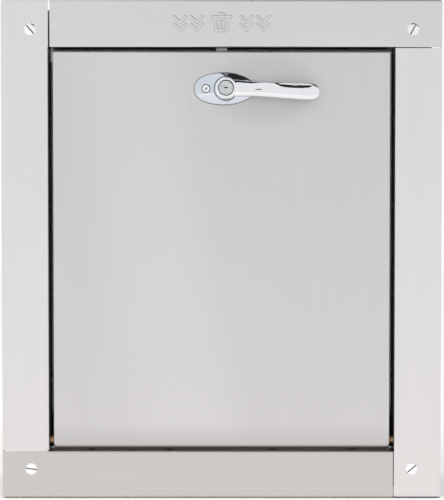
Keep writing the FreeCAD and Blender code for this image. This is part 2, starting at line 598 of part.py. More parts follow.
def leaf():
    """Front pan, back pan and the mineral core between them."""
    notch = block(-9.5, 9.5, FACE_Y + 3.5, BOLT_Y1 + 3, LEAF_TOP - 3, LEAF_TOP + 3)
    axis_hole = rod((-FRAME_W, HINGE_Y, HINGE_Z), (1, 0, 0), PIN_R + 0.02, 2 * FRAME_W)
    spindle_hole = rod((HANDLE_X, FACE_Y - 5, HANDLE_Z), (0, 1, 0), 7.0, 25)
    base_holes = [rod((HANDLE_X + s * BASE_SCREW_DX, FACE_Y - 5, HANDLE_Z), (0, 1, 0), 2.1, 20)
                  for s in (-1, 1)]
    front = cut(pan(0.0), pan(SHEET), notch, axis_hole, spindle_hole, *base_holes)

    x = LEAF_X - SHEET - 0.1
    z0, z1 = LEAF_BOT + SHEET + 0.1, LEAF_TOP - SHEET - 0.1
    back_t, flange_y = 1.2, LEAF_BACK - 12
    tray = block(-x, x, flange_y, LEAF_BACK, z0, z1)
    tray = fillet(tray, 2.0, lambda p, e: near(p.y, LEAF_BACK))
    well = block(-x + back_t, x - back_t, flange_y - 1, LEAF_BACK - back_t,
                 z0 + back_t, z1 - back_t)
    well = fillet(well, 0.8, lambda p, e: near(p.y, LEAF_BACK - back_t))
    access = block(HANDLE_X - 29, HANDLE_X + 29, 18, 30, 150, COVER_HIGH - 10)
    case_way = block(CASE_X0 - 1, CASE_X1 + 1, 0, CASE_Y1 + 1, z1 - 4, z1 + 2)
    screw_holes = [rod((sx, 10, sz), (0, 1, 0), 2.0, 20) for sx, sz in COVER_SCREWS]
    wing_holes = []
    for s in (-1, 1):
        for z in WING_RIVETS_Z:
            wing_holes.append(rivet_hole((s * (WING_X1 - 9), LEAF_BACK + SHEET, z), (0, 1, 0)))
    back = cut(tray, well, access, case_way, *screw_holes, *wing_holes)

    gap = 0.2
    core = block(-x + back_t + gap, x - back_t - gap, FACE_Y + SHEET + gap,
                 LEAF_BACK - back_t - gap, z0 + back_t + gap, z1 - back_t - gap)
    core = fillet(core, ROLL_R - SHEET - 2, lambda p, e: near(p.y, FACE_Y + SHEET + gap)
                  and near(p.z, z0 + back_t + gap))
    latch_room = block(HANDLE_X - 31, HANDLE_X + 31, FACE_Y, LEAF_BACK, 150, LEAF_TOP)
    pin_room = block(LEAF_X - 26, LEAF_X, HINGE_Y - 11, HINGE_Y + 11, HINGE_Z - 20, HINGE_Z + 11)
    core = cut(core, latch_room, pin_room, mirrored(pin_room), *wing_holes, *screw_holes)
    return {"leaf_front_pan": front, "leaf_back_pan": back, "leaf_core": core}


def latch_cover():
    """Plate over the latch access hole in the back pan, and its four screws."""
    y0 = LEAF_BACK
    plate = block(HANDLE_X - 41, HANDLE_X + 41, y0, y0 + 1.2, COVER_LOW, COVER_HIGH)
    plate = fillet(plate, 5, lambda p, e: e.Length < 1.3)
    screws = []
    for x, z in COVER_SCREWS:
        head = cone((x, y0 + 1.2, z), (0, 1, 0), 3.6, 2.4, 1.6)
        slot = block(x - 4, x + 4, y0 + 2.1, y0 + 4, z - 0.45, z + 0.45)
        screws.append(cut(fuse(head, rod((x, y0 - 5, z), (0, 1, 0), 2.0, 6.3)), slot))
    holes = [rod((x, y0 - 1, z), (0, 1, 0), 2.0, 5) for x, z in COVER_SCREWS]
    return {"latch_cover": cut(plate, *holes), "latch_cover_screws": group(screws)}


# ---- latch ----------------------------------------------------------------------------------------
HUB_R = 6.0
FINGER_R = 11.0
NOSE_R = 2.0
SPINDLE = 7.0
TAIL_Y0, TAIL_Y1 = 9.2, 12.0
CASE_T = 1.5               # sheet of the latch case
SPRING_AT = (-10.5, 8.8)
LATCH_SPRING_TOP = 196.0
LATCH_WIRE = 0.45          # radius the spring's wire needs at each end
LATCH_COIL_R = 2.8
LATCH_TURNS = 12


def latch_case():
    """Folded latch case inside the leaf, open at the sides for the tail's lug to be fitted."""
    t = CASE_T
    shell = block(CASE_X0, CASE_X1, CASE_Y0, CASE_Y1, CASE_Z0, CASE_Z1)
    shell = fillet(shell, 1.2, lambda p, e: near(p.z, (CASE_Z0 + CASE_Z1) / 2))
    hollow = block(CASE_X0 + t, CASE_X1 - t, CASE_Y0 + t, CASE_Y1 - t, CASE_Z0 + t, CASE_Z1 - t)
    mouth = block(-BOLT_X - 0.25, BOLT_X + 0.25, BOLT_Y0 - 0.25, BOLT_Y1 + 0.25,
                  CASE_Z1 - 4, CASE_Z1 + 2)
    ears = block(HANDLE_X - BASE_SCREW_DX - 6, HANDLE_X + BASE_SCREW_DX + 6, CASE_Y0, CASE_Y0 + t,
                 HANDLE_Z - 8, HANDLE_Z + 8)
    ears = fillet(ears, 4, lambda p, e: e.Length < t + 0.1)
    bores = [rod((HANDLE_X, CASE_Y0 - 2, HANDLE_Z), (0, 1, 0), 5.4, 30)]
    bores += [rod((HANDLE_X + s * BASE_SCREW_DX, CASE_Y0 - 2, HANDLE_Z), (0, 1, 0), 2.1, 8)
              for s in (-1, 1)]
    return cut(fuse(shell, ears), hollow, mouth, *bores)


def latch_spacers():
    """Tubes round the handle base's screws, between the front pan and the case's ears."""
    tubes = []
    for s in (-1, 1):
        at = (HANDLE_X + s * BASE_SCREW_DX, FACE_Y + SHEET, HANDLE_Z)
        length = CASE_Y0 - FACE_Y - SHEET
        tubes.append(cut(rod(at, (0, 1, 0), 4.5, length), rod(at, (0, 1, 0), 2.1, length)))
    return group(tubes)


def latch_bolt():
    """Bevelled bolt with a slotted tail and the lug that the cam pushes down."""
    top, neck = LEAF_TOP + 10.5, 202.0
    head = block(-BOLT_X, BOLT_X, BOLT_Y0, BOLT_Y1, neck, top)
    head = cut(head, *[side_bevel(s, top) for s in (-1, 1)])
    bevel = Part.Face(Part.makePolygon([
        V(-20, BOLT_Y1 + 0.1, top - 9.5), V(-20, BOLT_Y1 + 0.1, top + 1), V(-20, BOLT_Y0 + 3, top + 1),
        V(-20, BOLT_Y0 + 3, top), V(-20, BOLT_Y1 + 0.1, top - 9.5)])).extrude(V(40, 0, 0))
    tail = block(-6.0, 20.0, TAIL_Y0, TAIL_Y1, 172, neck + 1)
    window = block(HANDLE_X - 6.5, HANDLE_X + 6.5, TAIL_Y0 - 1, TAIL_Y1 + 1, 175, 200)
    nose_low = HANDLE_Z + FINGER_R * math.sin(math.radians(HANDLE_TURN / 2)) - NOSE_R
    lug = block(12.4, 18.5, 3.6, TAIL_Y0 + 0.5, 180.0, nose_low - 0.35)
    ear = block(-14.0, -5.0, 6.0, TAIL_Y1, LATCH_SPRING_TOP + 0.05, neck + 1)
    return fuse(head.cut(bevel), tail.cut(window), lug, ear)


def side_bevel(side, top):
    """Wedge that narrows the bolt's head towards its top on one side."""
    x0, x1 = side * (BOLT_X + 0.5), side * (BOLT_X - 1.6)
    pts = [V(x0, -5, top - 10.5), V(x0, -5, top + 1), V(x1, -5, top + 1), V(x1, -5, top),
           V(side * BOLT_X, -5, top - 10.5), V(x0, -5, top - 10.5)]
    return Part.Face(Part.makePolygon(pts)).extrude(V(0, 40, 0))


def latch_cam():
    """Round hub on the square spindle with one finger, 30 degrees above level at rest."""
    hub = rod((HANDLE_X, 2.8, HANDLE_Z), (0, 1, 0), HUB_R, 12.4)
    arm = block(0, FINGER_R, 3.8, 8.4, -0.4, NOSE_R)
    arm = fuse(arm, rod((FINGER_R, 3.8, 0), (0, 1, 0), NOSE_R, 4.6))
    arm.rotate(V(0, 0, 0), V(0, 1, 0), -HANDLE_TURN / 2)
    arm.translate(V(HANDLE_X, 0, HANDLE_Z))
    square = block(HANDLE_X - SPINDLE / 2, HANDLE_X + SPINDLE / 2, 0, 20,
                   HANDLE_Z - SPINDLE / 2, HANDLE_Z + SPINDLE / 2)
    return cut(fuse(hub, arm), square)


# ---- handle ---------------------------------------------------------------------------------------
BASE_TOP = FACE_Y - 8.0
HUB_BASE = BASE_TOP - 0.35
LOCK_FACE = FACE_Y - 30.0
PLUG_R = 8.0
BASE_HALF_L, BASE_HALF_H = 35.6, 18.0
LEVER_TIP = 104.5
TIP_BACK = 9.2             # centre of the round tip, back from its end
TIP_DROP = 4.4
PLUG_PROUD = 0.4
KEYWAY_W, KEYWAY_H = 4.8, 1.6


def base_outline(scale, y):
    """Egg-shaped outline of the handle base, scaled about the handle axis, in the plane y."""
    spots = [(-1.0, 0.0), (-0.955, 0.38), (-0.80, 0.66), (-0.44, 0.90), (-0.06, 1.0),
             (0.32, 0.90), (0.62, 0.64), (0.86, 0.34), (0.96, 0.0)]
    spots += [(a, -b) for a, b in spots[-2:0:-1]]
    pts = [V(HANDLE_X + a * BASE_HALF_L * scale, y, HANDLE_Z + b * BASE_HALF_H * scale)
           for a, b in spots]
    curve = Part.BSplineCurve()
    curve.interpolate(pts, PeriodicFlag=True)
    return Part.Wire(curve.toShape())


def handle_base():
    """Cast base: low rim, crowned top, a round boss under the handle's hub, two screw seats."""
    rim = Part.Face(base_outline(1.0, FACE_Y)).extrude(V(0, -2.2, 0))
    crown = Part.makeLoft([base_outline(1.0, FACE_Y - 2.2), base_outline(0.93, FACE_Y - 4.6),
                           base_outline(0.76, FACE_Y - 6.2)], True, False)
    boss = cone((HANDLE_X, FACE_Y - 3, HANDLE_Z), (0, -1, 0), 16.0, 14.6, 5.0)
    body = fuse(rim, crown, boss)
    bore = rod((HANDLE_X, FACE_Y + 5, HANDLE_Z), (0, -1, 0), 5.2, 40)
    seats = []
    for s in (-1, 1):
        x = HANDLE_X + s * BASE_SCREW_DX
        seats.append(rod((x, FACE_Y + 5, HANDLE_Z), (0, -1, 0), 2.1, 40))
        seats.append(cone((x, FACE_Y - 2.6, HANDLE_Z), (0, -1, 0), 2.1, 4.7, 2.6))
        seats.append(rod((x, FACE_Y - 5.2, HANDLE_Z), (0, -1, 0), 4.7, 20))
    return cut(body, bore, *seats)


def base_screws():
    """The two countersunk screws of the handle base."""
    screws = []
    for s in (-1, 1):
        x = HANDLE_X + s * BASE_SCREW_DX
        head = cone((x, FACE_Y - 2.6, HANDLE_Z), (0, -1, 0), 2.1, 4.0, 2.2)
        body = rod((x, CASE_Y0 + 4, HANDLE_Z), (0, -1, 0), 2.1, CASE_Y0 + 4 - FACE_Y + 2.6)
        cross = [block(x - 2.2, x + 2.2, FACE_Y - 6, FACE_Y - 3.6, HANDLE_Z - 0.4, HANDLE_Z + 0.4),
                 block(x - 0.4, x + 0.4, FACE_Y - 6, FACE_Y - 3.6, HANDLE_Z - 2.2, HANDLE_Z + 2.2)]
        screws.append(turned_about(cut(fuse(head, body), *cross), (x, HANDLE_Z), 25))
    return group(screws)


def lever_section(dx, drop, half_z, y_front, y_back):
    """Rounded section of the lever at dx from the handle axis."""
    corner = min(half_z, (y_back - y_front) / 2) * 0.55
    z = HANDLE_Z - drop
    x = HANDLE_X + dx
    pts = []
    for sy, sz in ((-1, -1), (-1, 1), (1, 1), (1, -1)):
        cy = y_front + corner if sy < 0 else y_back - corner
        cz = z + sz * (half_z - corner)
        pts.append((cy, cz, sy, sz))
    edges = []
    for k in range(4):
        cy, cz, sy, sz = pts[k]
        ny, nz = pts[(k + 1) % 4][:2]
        nsy, nsz = pts[(k + 1) % 4][2:]
        same_y = sy == nsy
        oy, oz = (sy * corner, 0) if same_y else (0, sz * corner)
        a = V(x, cy + oy, cz + oz)
        b = V(x, ny + oy, nz + oz)
        edges.append(Part.makeLine(a, b))
        py, pz = (0, nsz * corner) if same_y else (nsy * corner, 0)
        c = V(x, ny + py, nz + pz)
        bend = corner * math.sqrt(0.5)
        mid = V(x, ny + nsy * bend, nz + nsz * bend)
        edges.append(Part.Arc(b, mid, c).toShape())
    return Part.Wire(edges)


def lever_handle():
    """L-handle lever: hub over the base, a waisted neck and a broad grip with a round tip."""
    hub = cone((HANDLE_X, HUB_BASE, HANDLE_Z), (0, -1, 0), 14.4, 12.2, HUB_BASE - LOCK_FACE)
    hub = fillet(hub, 1.6, lambda p, e: near(p.y, LOCK_FACE))
    sections = [lever_section(0, 0, 9.8, LOCK_FACE + 1.2, LOCK_FACE + 15.5),
                lever_section(22, 0.6, 8.9, LOCK_FACE + 0.6, LOCK_FACE + 14.5),
                lever_section(36, 1.6, 8.1, LOCK_FACE - 1.2, LOCK_FACE + 12.0),
                lever_section(56, 2.9, 8.6, LOCK_FACE - 4.6, LOCK_FACE + 7.6),
                lever_section(78, 4.0, 9.6, LOCK_FACE - 5.6, LOCK_FACE + 5.6),
                lever_section(LEVER_TIP - TIP_BACK, TIP_DROP, 9.0, LOCK_FACE - 4.4, LOCK_FACE + 5.4)]
    arm = Part.makeLoft(sections, True, False)
    x, z = HANDLE_X + LEVER_TIP - TIP_BACK, HANDLE_Z - TIP_DROP
    tip = rod((x, LOCK_FACE - 4.2, z), (0, 1, 0), 9.0, 9.4)
    tip = fillet(tip, 4.0, lambda p, e: e.Length > 20)
    body = fuse(hub, arm, tip)
    plug_bore = rod((HANDLE_X, LOCK_FACE - 9, HANDLE_Z), (0, 1, 0), PLUG_R + 0.06, 9 + 14)
    groove = rod((HANDLE_X, LOCK_FACE - 9, HANDLE_Z), (0, 1, 0), PLUG_R + 0.9, 9 + 1.4)
    square = block(HANDLE_X - SPINDLE / 2, HANDLE_X + SPINDLE / 2, LOCK_FACE + 13, 5,
                   HANDLE_Z - SPINDLE / 2, HANDLE_Z + SPINDLE / 2)
    return cut(body, plug_bore, groove, square)


def handle_parts():
    """Spindle, its clip, and the lock plug with a key slot."""
    spindle = block(HANDLE_X - SPINDLE / 2, HANDLE_X + SPINDLE / 2, LOCK_FACE + 14.2, 20.5,
                    HANDLE_Z - SPINDLE / 2, HANDLE_Z + SPINDLE / 2)
    spindle = fillet(spindle, 0.5, lambda p, e: near(p.y, (LOCK_FACE + 34.7) / 2) and e.Length > 30)
    groove = cut(rod((HANDLE_X, 17.4, HANDLE_Z), (0, 1, 0), 9, 1.0),
                 rod((HANDLE_X, 17.0, HANDLE_Z), (0, 1, 0), 2.8, 2.0))
    clip = cut(rod((HANDLE_X, 17.4, HANDLE_Z), (0, 1, 0), 7.5, 1.0),
               rod((HANDLE_X, 17.0, HANDLE_Z), (0, 1, 0), 2.8, 2.0),
               block(HANDLE_X - 2.4, HANDLE_X + 2.4, 17, 19, HANDLE_Z - 9, HANDLE_Z))
    plug = rod((HANDLE_X, LOCK_FACE - PLUG_PROUD, HANDLE_Z), (0, 1, 0), PLUG_R, 14.0)
    plug = fillet(plug, 0.5, lambda p, e: near(p.y, LOCK_FACE - PLUG_PROUD))
    slot = block(HANDLE_X - KEYWAY_W / 2, HANDLE_X + KEYWAY_W / 2, LOCK_FACE - 2, LOCK_FACE + 8,
                 HANDLE_Z - KEYWAY_H / 2, HANDLE_Z + KEYWAY_H / 2)
    return {"spindle": cut(spindle, groove), "spindle_clip": clip, "lock_plug": cut(plug, slot)}


# ---- everything ------------------------------------------------------------------------------------
def all_parts():
    """Every node of the assembly, by name."""
    parts = {}
    parts.update(face_frame())
    parts.update(corner_fixings())
    right = hinge_screw_holes(sleeve_side())
    parts["sleeve_side_right"] = right
    parts["sleeve_side_left"] = mirrored(right)
    parts["sleeve_top"] = sleeve_top()
    parts["sleeve_floor"] = sleeve_floor()
    parts["frame_rivets"] = group([rivet(at, d) for at, d in FRAME_RIVETS])
    spine = [rivet((s * (SLEEVE_X + SHEET), y, z), (s, 0, 0)) for y, z in SPINE_RIVETS
             for s in (-1, 1)]
    parts["sleeve_rivets"] = group(spine)
    parts.update(strike_box())
    parts.update(seals())
    for make in (hinge_side, stop_pin):
        for name, shape in make().items():
            parts[name + "_right"] = shape
            parts[name + "_left"] = mirrored(shape)
    parts["wing_right"] = wing()
    parts["wing_left"] = mirrored(parts["wing_right"])
    wing_rivets = [rivet((s * (WING_X1 - 9), LEAF_BACK + SHEET, z), (0, 1, 0), shank=3.2)
                   for s in (-1, 1) for z in WING_RIVETS_Z]
    parts["wing_rivets"] = group(wing_rivets)
    parts.update(leaf())
    parts.update(latch_cover())
    parts["latch_case"] = latch_case()
    parts["latch_spacers"] = latch_spacers()
    parts["latch_bolt"] = latch_bolt()
    parts["latch_cam"] = latch_cam()
    low = CASE_Z0 + CASE_T + LATCH_WIRE
    pitch = (LATCH_SPRING_TOP - LATCH_WIRE - low) / LATCH_TURNS
    parts["latch_spring"] = coil((*SPRING_AT, low), (0, 0, 1), LATCH_COIL_R, LATCH_WIRE - 0.05,
                                 pitch, LATCH_TURNS)
    parts["handle_base"] = handle_base()
    parts["handle_base_screws"] = base_screws()
    parts["lever_handle"] = lever_handle()
    parts.update(handle_parts())
    return parts


os.makedirs("parts", exist_ok=True)
for old in os.listdir("parts"):
    os.remove(os.path.join("parts", old))
for name, shape in sorted(all_parts().items()):
    solids = shape.Solids
    if not solids or not all(s.isValid() for s in solids):
        print("check", name, "solids", len(solids), [s.isValid() for s in solids])
    out = solids[0] if len(solids) == 1 else Part.makeCompound(solids)
    out.exportStep("parts/" + name + ".step")
    print(name, len(solids), round(sum(s.Volume for s in solids) / 1000, 2), "cm3")
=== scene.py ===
# %% [markdown]
# # A rubbish chute intake door
#
# This lesson finishes a steel intake door: a bottom-hinged leaf in a four-piece face frame, on a
# galvanised sleeve that goes through the wall.  The engineering model already holds every folded
# sheet, pin and screw at its real size, so the job here is surface, light and the few cast or
# coiled pieces that read better as meshes built one by one.  The first cell loads that model and
# keeps the box it fills.

# %% Load the frame
import bpy
import bmesh
import json
import math
from mathutils import Matrix, Vector


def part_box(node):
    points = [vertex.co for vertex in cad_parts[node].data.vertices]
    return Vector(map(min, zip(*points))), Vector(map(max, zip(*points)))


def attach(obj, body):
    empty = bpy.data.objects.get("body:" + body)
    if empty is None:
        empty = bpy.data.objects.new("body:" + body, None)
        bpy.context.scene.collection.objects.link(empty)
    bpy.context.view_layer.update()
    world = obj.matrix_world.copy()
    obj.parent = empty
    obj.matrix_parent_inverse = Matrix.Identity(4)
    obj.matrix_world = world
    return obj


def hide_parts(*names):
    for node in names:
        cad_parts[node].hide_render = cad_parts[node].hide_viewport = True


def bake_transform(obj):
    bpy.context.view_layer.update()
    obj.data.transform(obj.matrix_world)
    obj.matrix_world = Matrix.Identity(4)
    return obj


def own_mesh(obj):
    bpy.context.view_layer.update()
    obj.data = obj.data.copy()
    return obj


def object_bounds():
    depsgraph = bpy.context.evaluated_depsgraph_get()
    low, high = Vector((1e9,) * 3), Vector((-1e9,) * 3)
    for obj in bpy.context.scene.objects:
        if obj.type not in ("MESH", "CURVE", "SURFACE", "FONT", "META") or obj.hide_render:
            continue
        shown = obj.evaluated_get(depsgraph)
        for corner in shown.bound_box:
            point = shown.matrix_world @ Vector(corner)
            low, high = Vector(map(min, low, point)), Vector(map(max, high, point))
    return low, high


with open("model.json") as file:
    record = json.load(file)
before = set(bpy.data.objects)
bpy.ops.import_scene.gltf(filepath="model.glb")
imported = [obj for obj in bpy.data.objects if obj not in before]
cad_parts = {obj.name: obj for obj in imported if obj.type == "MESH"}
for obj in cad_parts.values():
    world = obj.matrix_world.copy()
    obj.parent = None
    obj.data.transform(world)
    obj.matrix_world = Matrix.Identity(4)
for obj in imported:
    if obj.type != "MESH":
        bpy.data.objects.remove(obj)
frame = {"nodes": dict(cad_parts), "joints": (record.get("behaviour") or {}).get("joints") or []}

cad_low, cad_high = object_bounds()
print("CAD box in metres:", [round(v, 4) for v in cad_low], [round(v, 4) for v in cad_high])

MM = 0.001


# %% [markdown]
# ## Writing shader maths as sums
#
# Node trees built one node at a time are hard to read.  A thin class round a socket lets Python's
# own operators add the Math nodes, so a mask is written as an expression.  One method, `node`,
# adds anything else.  The same could be done with node groups, but those hide the numbers that a
# learner wants to see.

# %% A socket that does sums
class Sock:
    """An output socket in one node tree, with arithmetic that adds Math nodes."""

    def __init__(self, tree, socket=None):
        self.tree = tree
        self.socket = socket

    def node(self, kind, settings=None, sockets=None, out=0):
        """Adds a node of that kind, sets it up, links its sockets and returns one output."""
        made = self.tree.nodes.new(kind)
        for key, value in (settings or {}).items():
            setattr(made, key, value)
        for key, value in (sockets or {}).items():
            target = made.inputs[key]
            if isinstance(value, Sock):
                self.tree.links.new(value.socket, target)
            elif isinstance(value, tuple) and target.type == "RGBA":
                target.default_value = (*value, 1.0)
            else:
                target.default_value = value
        return Sock(self.tree, made.outputs[out])

    def maths(self, operation, *values):
        sockets = dict(enumerate(values))
        return self.node("ShaderNodeMath", {"operation": operation}, sockets)

    def __add__(self, other):
        return self.maths("ADD", self, other)

    def __radd__(self, other):
        return self.maths("ADD", other, self)

    def __rsub__(self, other):
        return self.maths("SUBTRACT", other, self)

    def __mul__(self, other):
        return self.maths("MULTIPLY", self, other)

    def __rmul__(self, other):
        return self.maths("MULTIPLY", other, self)

    def between(self, low, high):
        """0 below low, 1 above high, and smooth in between; low may be the larger."""
        values = {"Value": self, "From Min": low, "From Max": high}
        return self.node("ShaderNodeMapRange", {"interpolation_type": "SMOOTHSTEP"}, values)

    def stretched(self, x, y, z):
        """A vector with each axis scaled."""
        values = {0: self, 1: (x, y, z)}
        return self.node("ShaderNodeVectorMath", {"operation": "MULTIPLY"}, values)

    def noise(self, scale=1.0, detail=3.0, rough=0.5):
        """Smooth random values from 0 to 1 over this vector."""
        values = {"Vector": self, "Scale": scale, "Detail": detail, "Roughness": rough}
        return self.node("ShaderNodeTexNoise", {}, values, out="Fac")

    def near(self, point, radius):
        """1 at a point and 0 from radius outwards, measured over this vector."""
        values = {0: self, 1: point}
        gap = self.node("ShaderNodeVectorMath", {"operation": "DISTANCE"}, values, out="Value")
        return gap.between(radius, 0.0)

    def blend(self, low, high):
        """The colour low where this is 0 and high where it is 1."""
        values = {0: self, 6: low, 7: high}
        return self.node("ShaderNodeMix", {"data_type": "RGBA"}, values, out=2)

    def open_air(self, reach, shut, clear):
        """0 where surfaces within reach close this one in, up to 1 where it stands clear."""
        values = {"Distance": reach}
        air = self.node("ShaderNodeAmbientOcclusion", {"samples": 8}, values, out="AO")
        return air.between(shut, clear)

    def part(self, axis):
        """One component of this vector: "X", "Y" or "Z"."""
        return self.node("ShaderNodeSeparateXYZ", {}, {"Vector": self}, out=axis)


print("Sock holds", len([n for n in dir(Sock) if not n.startswith("__")]), "named methods")


# %% [markdown]
# ## One finish, many pieces
#
# Every finish starts with the same Principled shader and the same position in the object's own
# frame.  Using that position, and no unwrapped texture, keeps the grain at its real scale on
# folded sheet.  `finish` returns the material with a socket holding the position, and `connect`
# hooks up what changes over the surface.  What stays the same all over is set on the shader.
#
# Gaps between sheets look black on a real door, because little light gets in.  `connect` can
# paint that shade: where a surface is closed in, the metal is painted dull and dark.

# %% Start and connect a finish
# colour and roughness of the painted shade in gaps and corners
CREVICE_SHADE = (0.006, 0.006, 0.006)
CREVICE_SHADE_ROUGH = 0.9


def finish(name, **constants):
    """A new material; its shader's constants are set by name, with spaces written as _."""
    material = bpy.data.materials.new(name)
    material.use_nodes = True
    shader = material.node_tree.nodes["Principled BSDF"]
    for key, value in constants.items():
        target = shader.inputs[key.replace("_", " ")]
        target.default_value = (*value, 1.0) if isinstance(value, tuple) else value
    place = Sock(material.node_tree).node("ShaderNodeTexCoord", out="Object")
    return material, place


def connect(material, bump=None, height=0.0001, painted_shade=None, **sockets):
    """Links varying values to the shader, and bump, a height from 0 to 1, through a Bump node.

    The (reach, shut, clear) argument paints closed-in metal dull black, as painted shade."""
    shader = material.node_tree.nodes["Principled BSDF"]
    tree = material.node_tree
    # painted shade: ambient occlusion turns closed-in metal dull black
    if painted_shade:
        airy = sockets["Roughness"].open_air(*painted_shade)
        sockets["Base_Color"] = airy.blend(CREVICE_SHADE, sockets["Base_Color"])
        sockets["Roughness"] = sockets["Roughness"] * airy + CREVICE_SHADE_ROUGH * (1 - airy)
        sockets["Metallic"] = airy
    for key, value in sockets.items():
        tree.links.new(value.socket, shader.inputs[key.replace("_", " ")])
    if bump is not None:
        values = {"Strength": 1.0, "Distance": height, "Height": bump}
        normal = bump.node("ShaderNodeBump", {}, values)
        tree.links.new(normal.socket, shader.inputs["Normal"])
    return material


def shade(colour, factor):
    """The same colour, lighter or darker."""
    return tuple(min(1.0, c * factor) for c in colour)


# %% [markdown]
# ## Brushed stainless steel
#
# Sheet for doors is brushed in one direction before it is folded, so the grain runs along each
# frame member and up the leaf.  Scratches are noise that is stretched: hundreds of turns per
# metre across the grain and a few along it.  An anisotropic shader would be the short cut, but
# streaks in roughness and height survive export and can be looked at closely.  Over the streaks
# go cloudy polishing marks.
#
# The leaf also has a greasy film round the handle, which roughens it, and painted light and shade:
# painted shade round the handle, a painted lighter strip, and painted shade along the rolled edge.

# %% Stainless, with its grain along any axis
ACROSS, ALONG = (1500.0, 330.0), (9.0, 2.2)     # turns per metre of fine and coarse scratches
HANDLE_SHADE_SHAPE = (1.0, 0.4, 1.35)                   # squeezes the round painted shade into an oval
HANDLE_SHADE_RADIUS, HANDLE_SHADE_FACTOR = 0.085, 0.91
# painted light: a lighter slanting strip across the leaf
LIT_BAND_LEFT, LIT_BAND_RIGHT = (-0.17, -0.09), (0.01, -0.05)   # where each edge starts and ends
LIT_BAND_LEAN, LIT_BAND_FACTOR = 0.16, 1.07
# painted shade: darker towards the rolled bottom edge
LOW_SHADE_TOP, LOW_SHADE_END, LOW_SHADE_FACTOR = -0.194, -0.222, 0.87


def stainless(name, along, tint, smudge_and_shade_at=None, painted_shade=None):
    """Brushed sheet; along is 0 for grain on X and 2 for grain on Z."""
    material, place = finish(name, Metallic=1.0)
    fine, coarse = [ACROSS[0]] * 3, [ACROSS[1]] * 3
    fine[along], coarse[along] = ALONG
    hair = place.stretched(*fine).noise(1.0, 2.0, 0.6)
    streak = place.stretched(*coarse).noise(1.0, 3.0, 0.55)
    cloud = place.noise(5.5, 3.0, 0.5)
    rough = 0.27 + 0.05 * hair + 0.06 * streak + 0.07 * cloud
    mark = streak * 0.45 + hair * 0.25 + cloud * 0.3
    if smudge_and_shade_at:
        greasy = place.near(smudge_and_shade_at, 0.13) * place.noise(38.0, 4.0, 0.65).between(0.42, 0.62)
        rough = rough + 0.09 * greasy
    colour = mark.between(0.3, 0.7).blend(shade(tint, 0.975), shade(tint, 1.025))
    if smudge_and_shade_at:
        # painted light: a lighter slanting strip
        band = place.part("X") + LIT_BAND_LEAN * place.part("Z")
        lit_band = band.between(*LIT_BAND_LEFT) * band.between(*LIT_BAND_RIGHT)
        colour = (lit_band * 0.8).blend(colour, shade(tint, LIT_BAND_FACTOR))
        # painted shade: a darker oval round the handle
        centre = tuple(c * f for c, f in zip(smudge_and_shade_at, HANDLE_SHADE_SHAPE))
        handle_shade = place.stretched(*HANDLE_SHADE_SHAPE).near(centre, HANDLE_SHADE_RADIUS)
        colour = (handle_shade.between(0.0, 0.55) * 0.9).blend(colour, shade(tint, HANDLE_SHADE_FACTOR))
        # painted shade: darker towards the rolled bottom edge
        low_shade = place.part("Z").between(LOW_SHADE_TOP, LOW_SHADE_END)
        colour = low_shade.blend(colour, shade(tint, LOW_SHADE_FACTOR))
    return connect(material, bump=hair * 0.6 + streak * 0.4, height=0.000012, painted_shade=painted_shade,
                   Base_Color=colour, Roughness=rough)


lever_low, lever_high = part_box("lever_handle")
hand_spot = tuple((lever_low + lever_high) / 2)
GAP_SHADE = (0.012, 0.15, 0.42)     # painted shade: its reach, where it is full, where it ends
# One steel in four tints, lighter or darker per piece as painted light; the sill's darker, warmer
# tint is a painted floor reflection.
steel_upright = stainless("stainless_stile", 2, (0.695, 0.695, 0.70), painted_shade=GAP_SHADE)
steel_level = stainless("stainless_rail", 0, (0.645, 0.645, 0.665), painted_shade=GAP_SHADE)
steel_sill_shaded = stainless("stainless_sill_shaded", 0, (0.555, 0.54, 0.525))
steel_leaf = stainless("stainless_leaf", 2, (0.597, 0.597, 0.60), hand_spot)
print("stainless finishes:", [m.name for m in (steel_upright, steel_level, steel_sill_shaded, steel_leaf)])


# %% [markdown]
# ## Galvanised sheet
#
# The hidden sheet is hot-dip galvanised.  Its zinc freezes into flat crystals, each of which
# reflects a little differently, so a Voronoi texture gives every cell its own brightness and
# gloss.  Faint rolling marks and white bloom keep it from looking like tile.

# %% Galvanised
def galvanised():
    """Zinc crystals in flat cells, with faint rolling marks and bloom."""
    material, place = finish("galvanised_sheet", Metallic=1.0)
    wobble = place.noise(60.0, 2.0)
    cells = place.node("ShaderNodeTexVoronoi", {}, {"Vector": place, "Scale": 95.0}, out="Color")
    glint = cells.node("ShaderNodeSeparateColor", {}, {"Color": cells}, out="Red")
    bloom = place.noise(9.0, 5.0, 0.6).between(0.48, 0.72)
    spangle = glint * 0.6 + wobble * 0.4
    colour = spangle.blend((0.40, 0.42, 0.44), (0.60, 0.62, 0.63))
    colour = (bloom * 0.45).blend(colour, (0.66, 0.67, 0.67))
    rough = 0.34 + 0.16 * glint + 0.14 * bloom
    # painted shade: closed-in zinc is painted dull black
    return connect(material, bump=spangle, height=0.00002, painted_shade=(0.014, 0.15, 0.6),
                   Base_Color=colour, Roughness=rough)


galvanised_sheet = galvanised()
print("made", galvanised_sheet.name)


# %% [markdown]
# ## Plated, turned and cast metals
#
# Screws, pins and the bolt are bright zinc over turned steel, with fine rings; the bushes are
# oiled bronze; the springs are dark drawn wire; blind rivets are soft satin aluminium.  They
# differ in colour, in gloss and in how patchy they are, so one function makes them all.

# %% Small metals from one recipe
# By default, closed-in spots such as screw slots get painted shade, dull black.
def small_metal(name, dark, light, gloss, patch=60.0, uneven=0.12, grain=0.00001,
                painted_shade=(0.0025, 0.2, 0.75)):
    """Metal with patchy colour and gloss: patch is patches per metre."""
    material, place = finish(name, Metallic=1.0)
    spots = place.noise(patch, 4.0, 0.6)
    hair = place.stretched(1800.0, 1800.0, 1800.0).noise(1.0, 2.0)
    colour = spots.between(0.32, 0.68).blend(dark, light)
    rough = gloss + uneven * spots + 0.04 * hair
    return connect(material, bump=hair, height=grain, painted_shade=painted_shade,
                   Base_Color=colour, Roughness=rough)


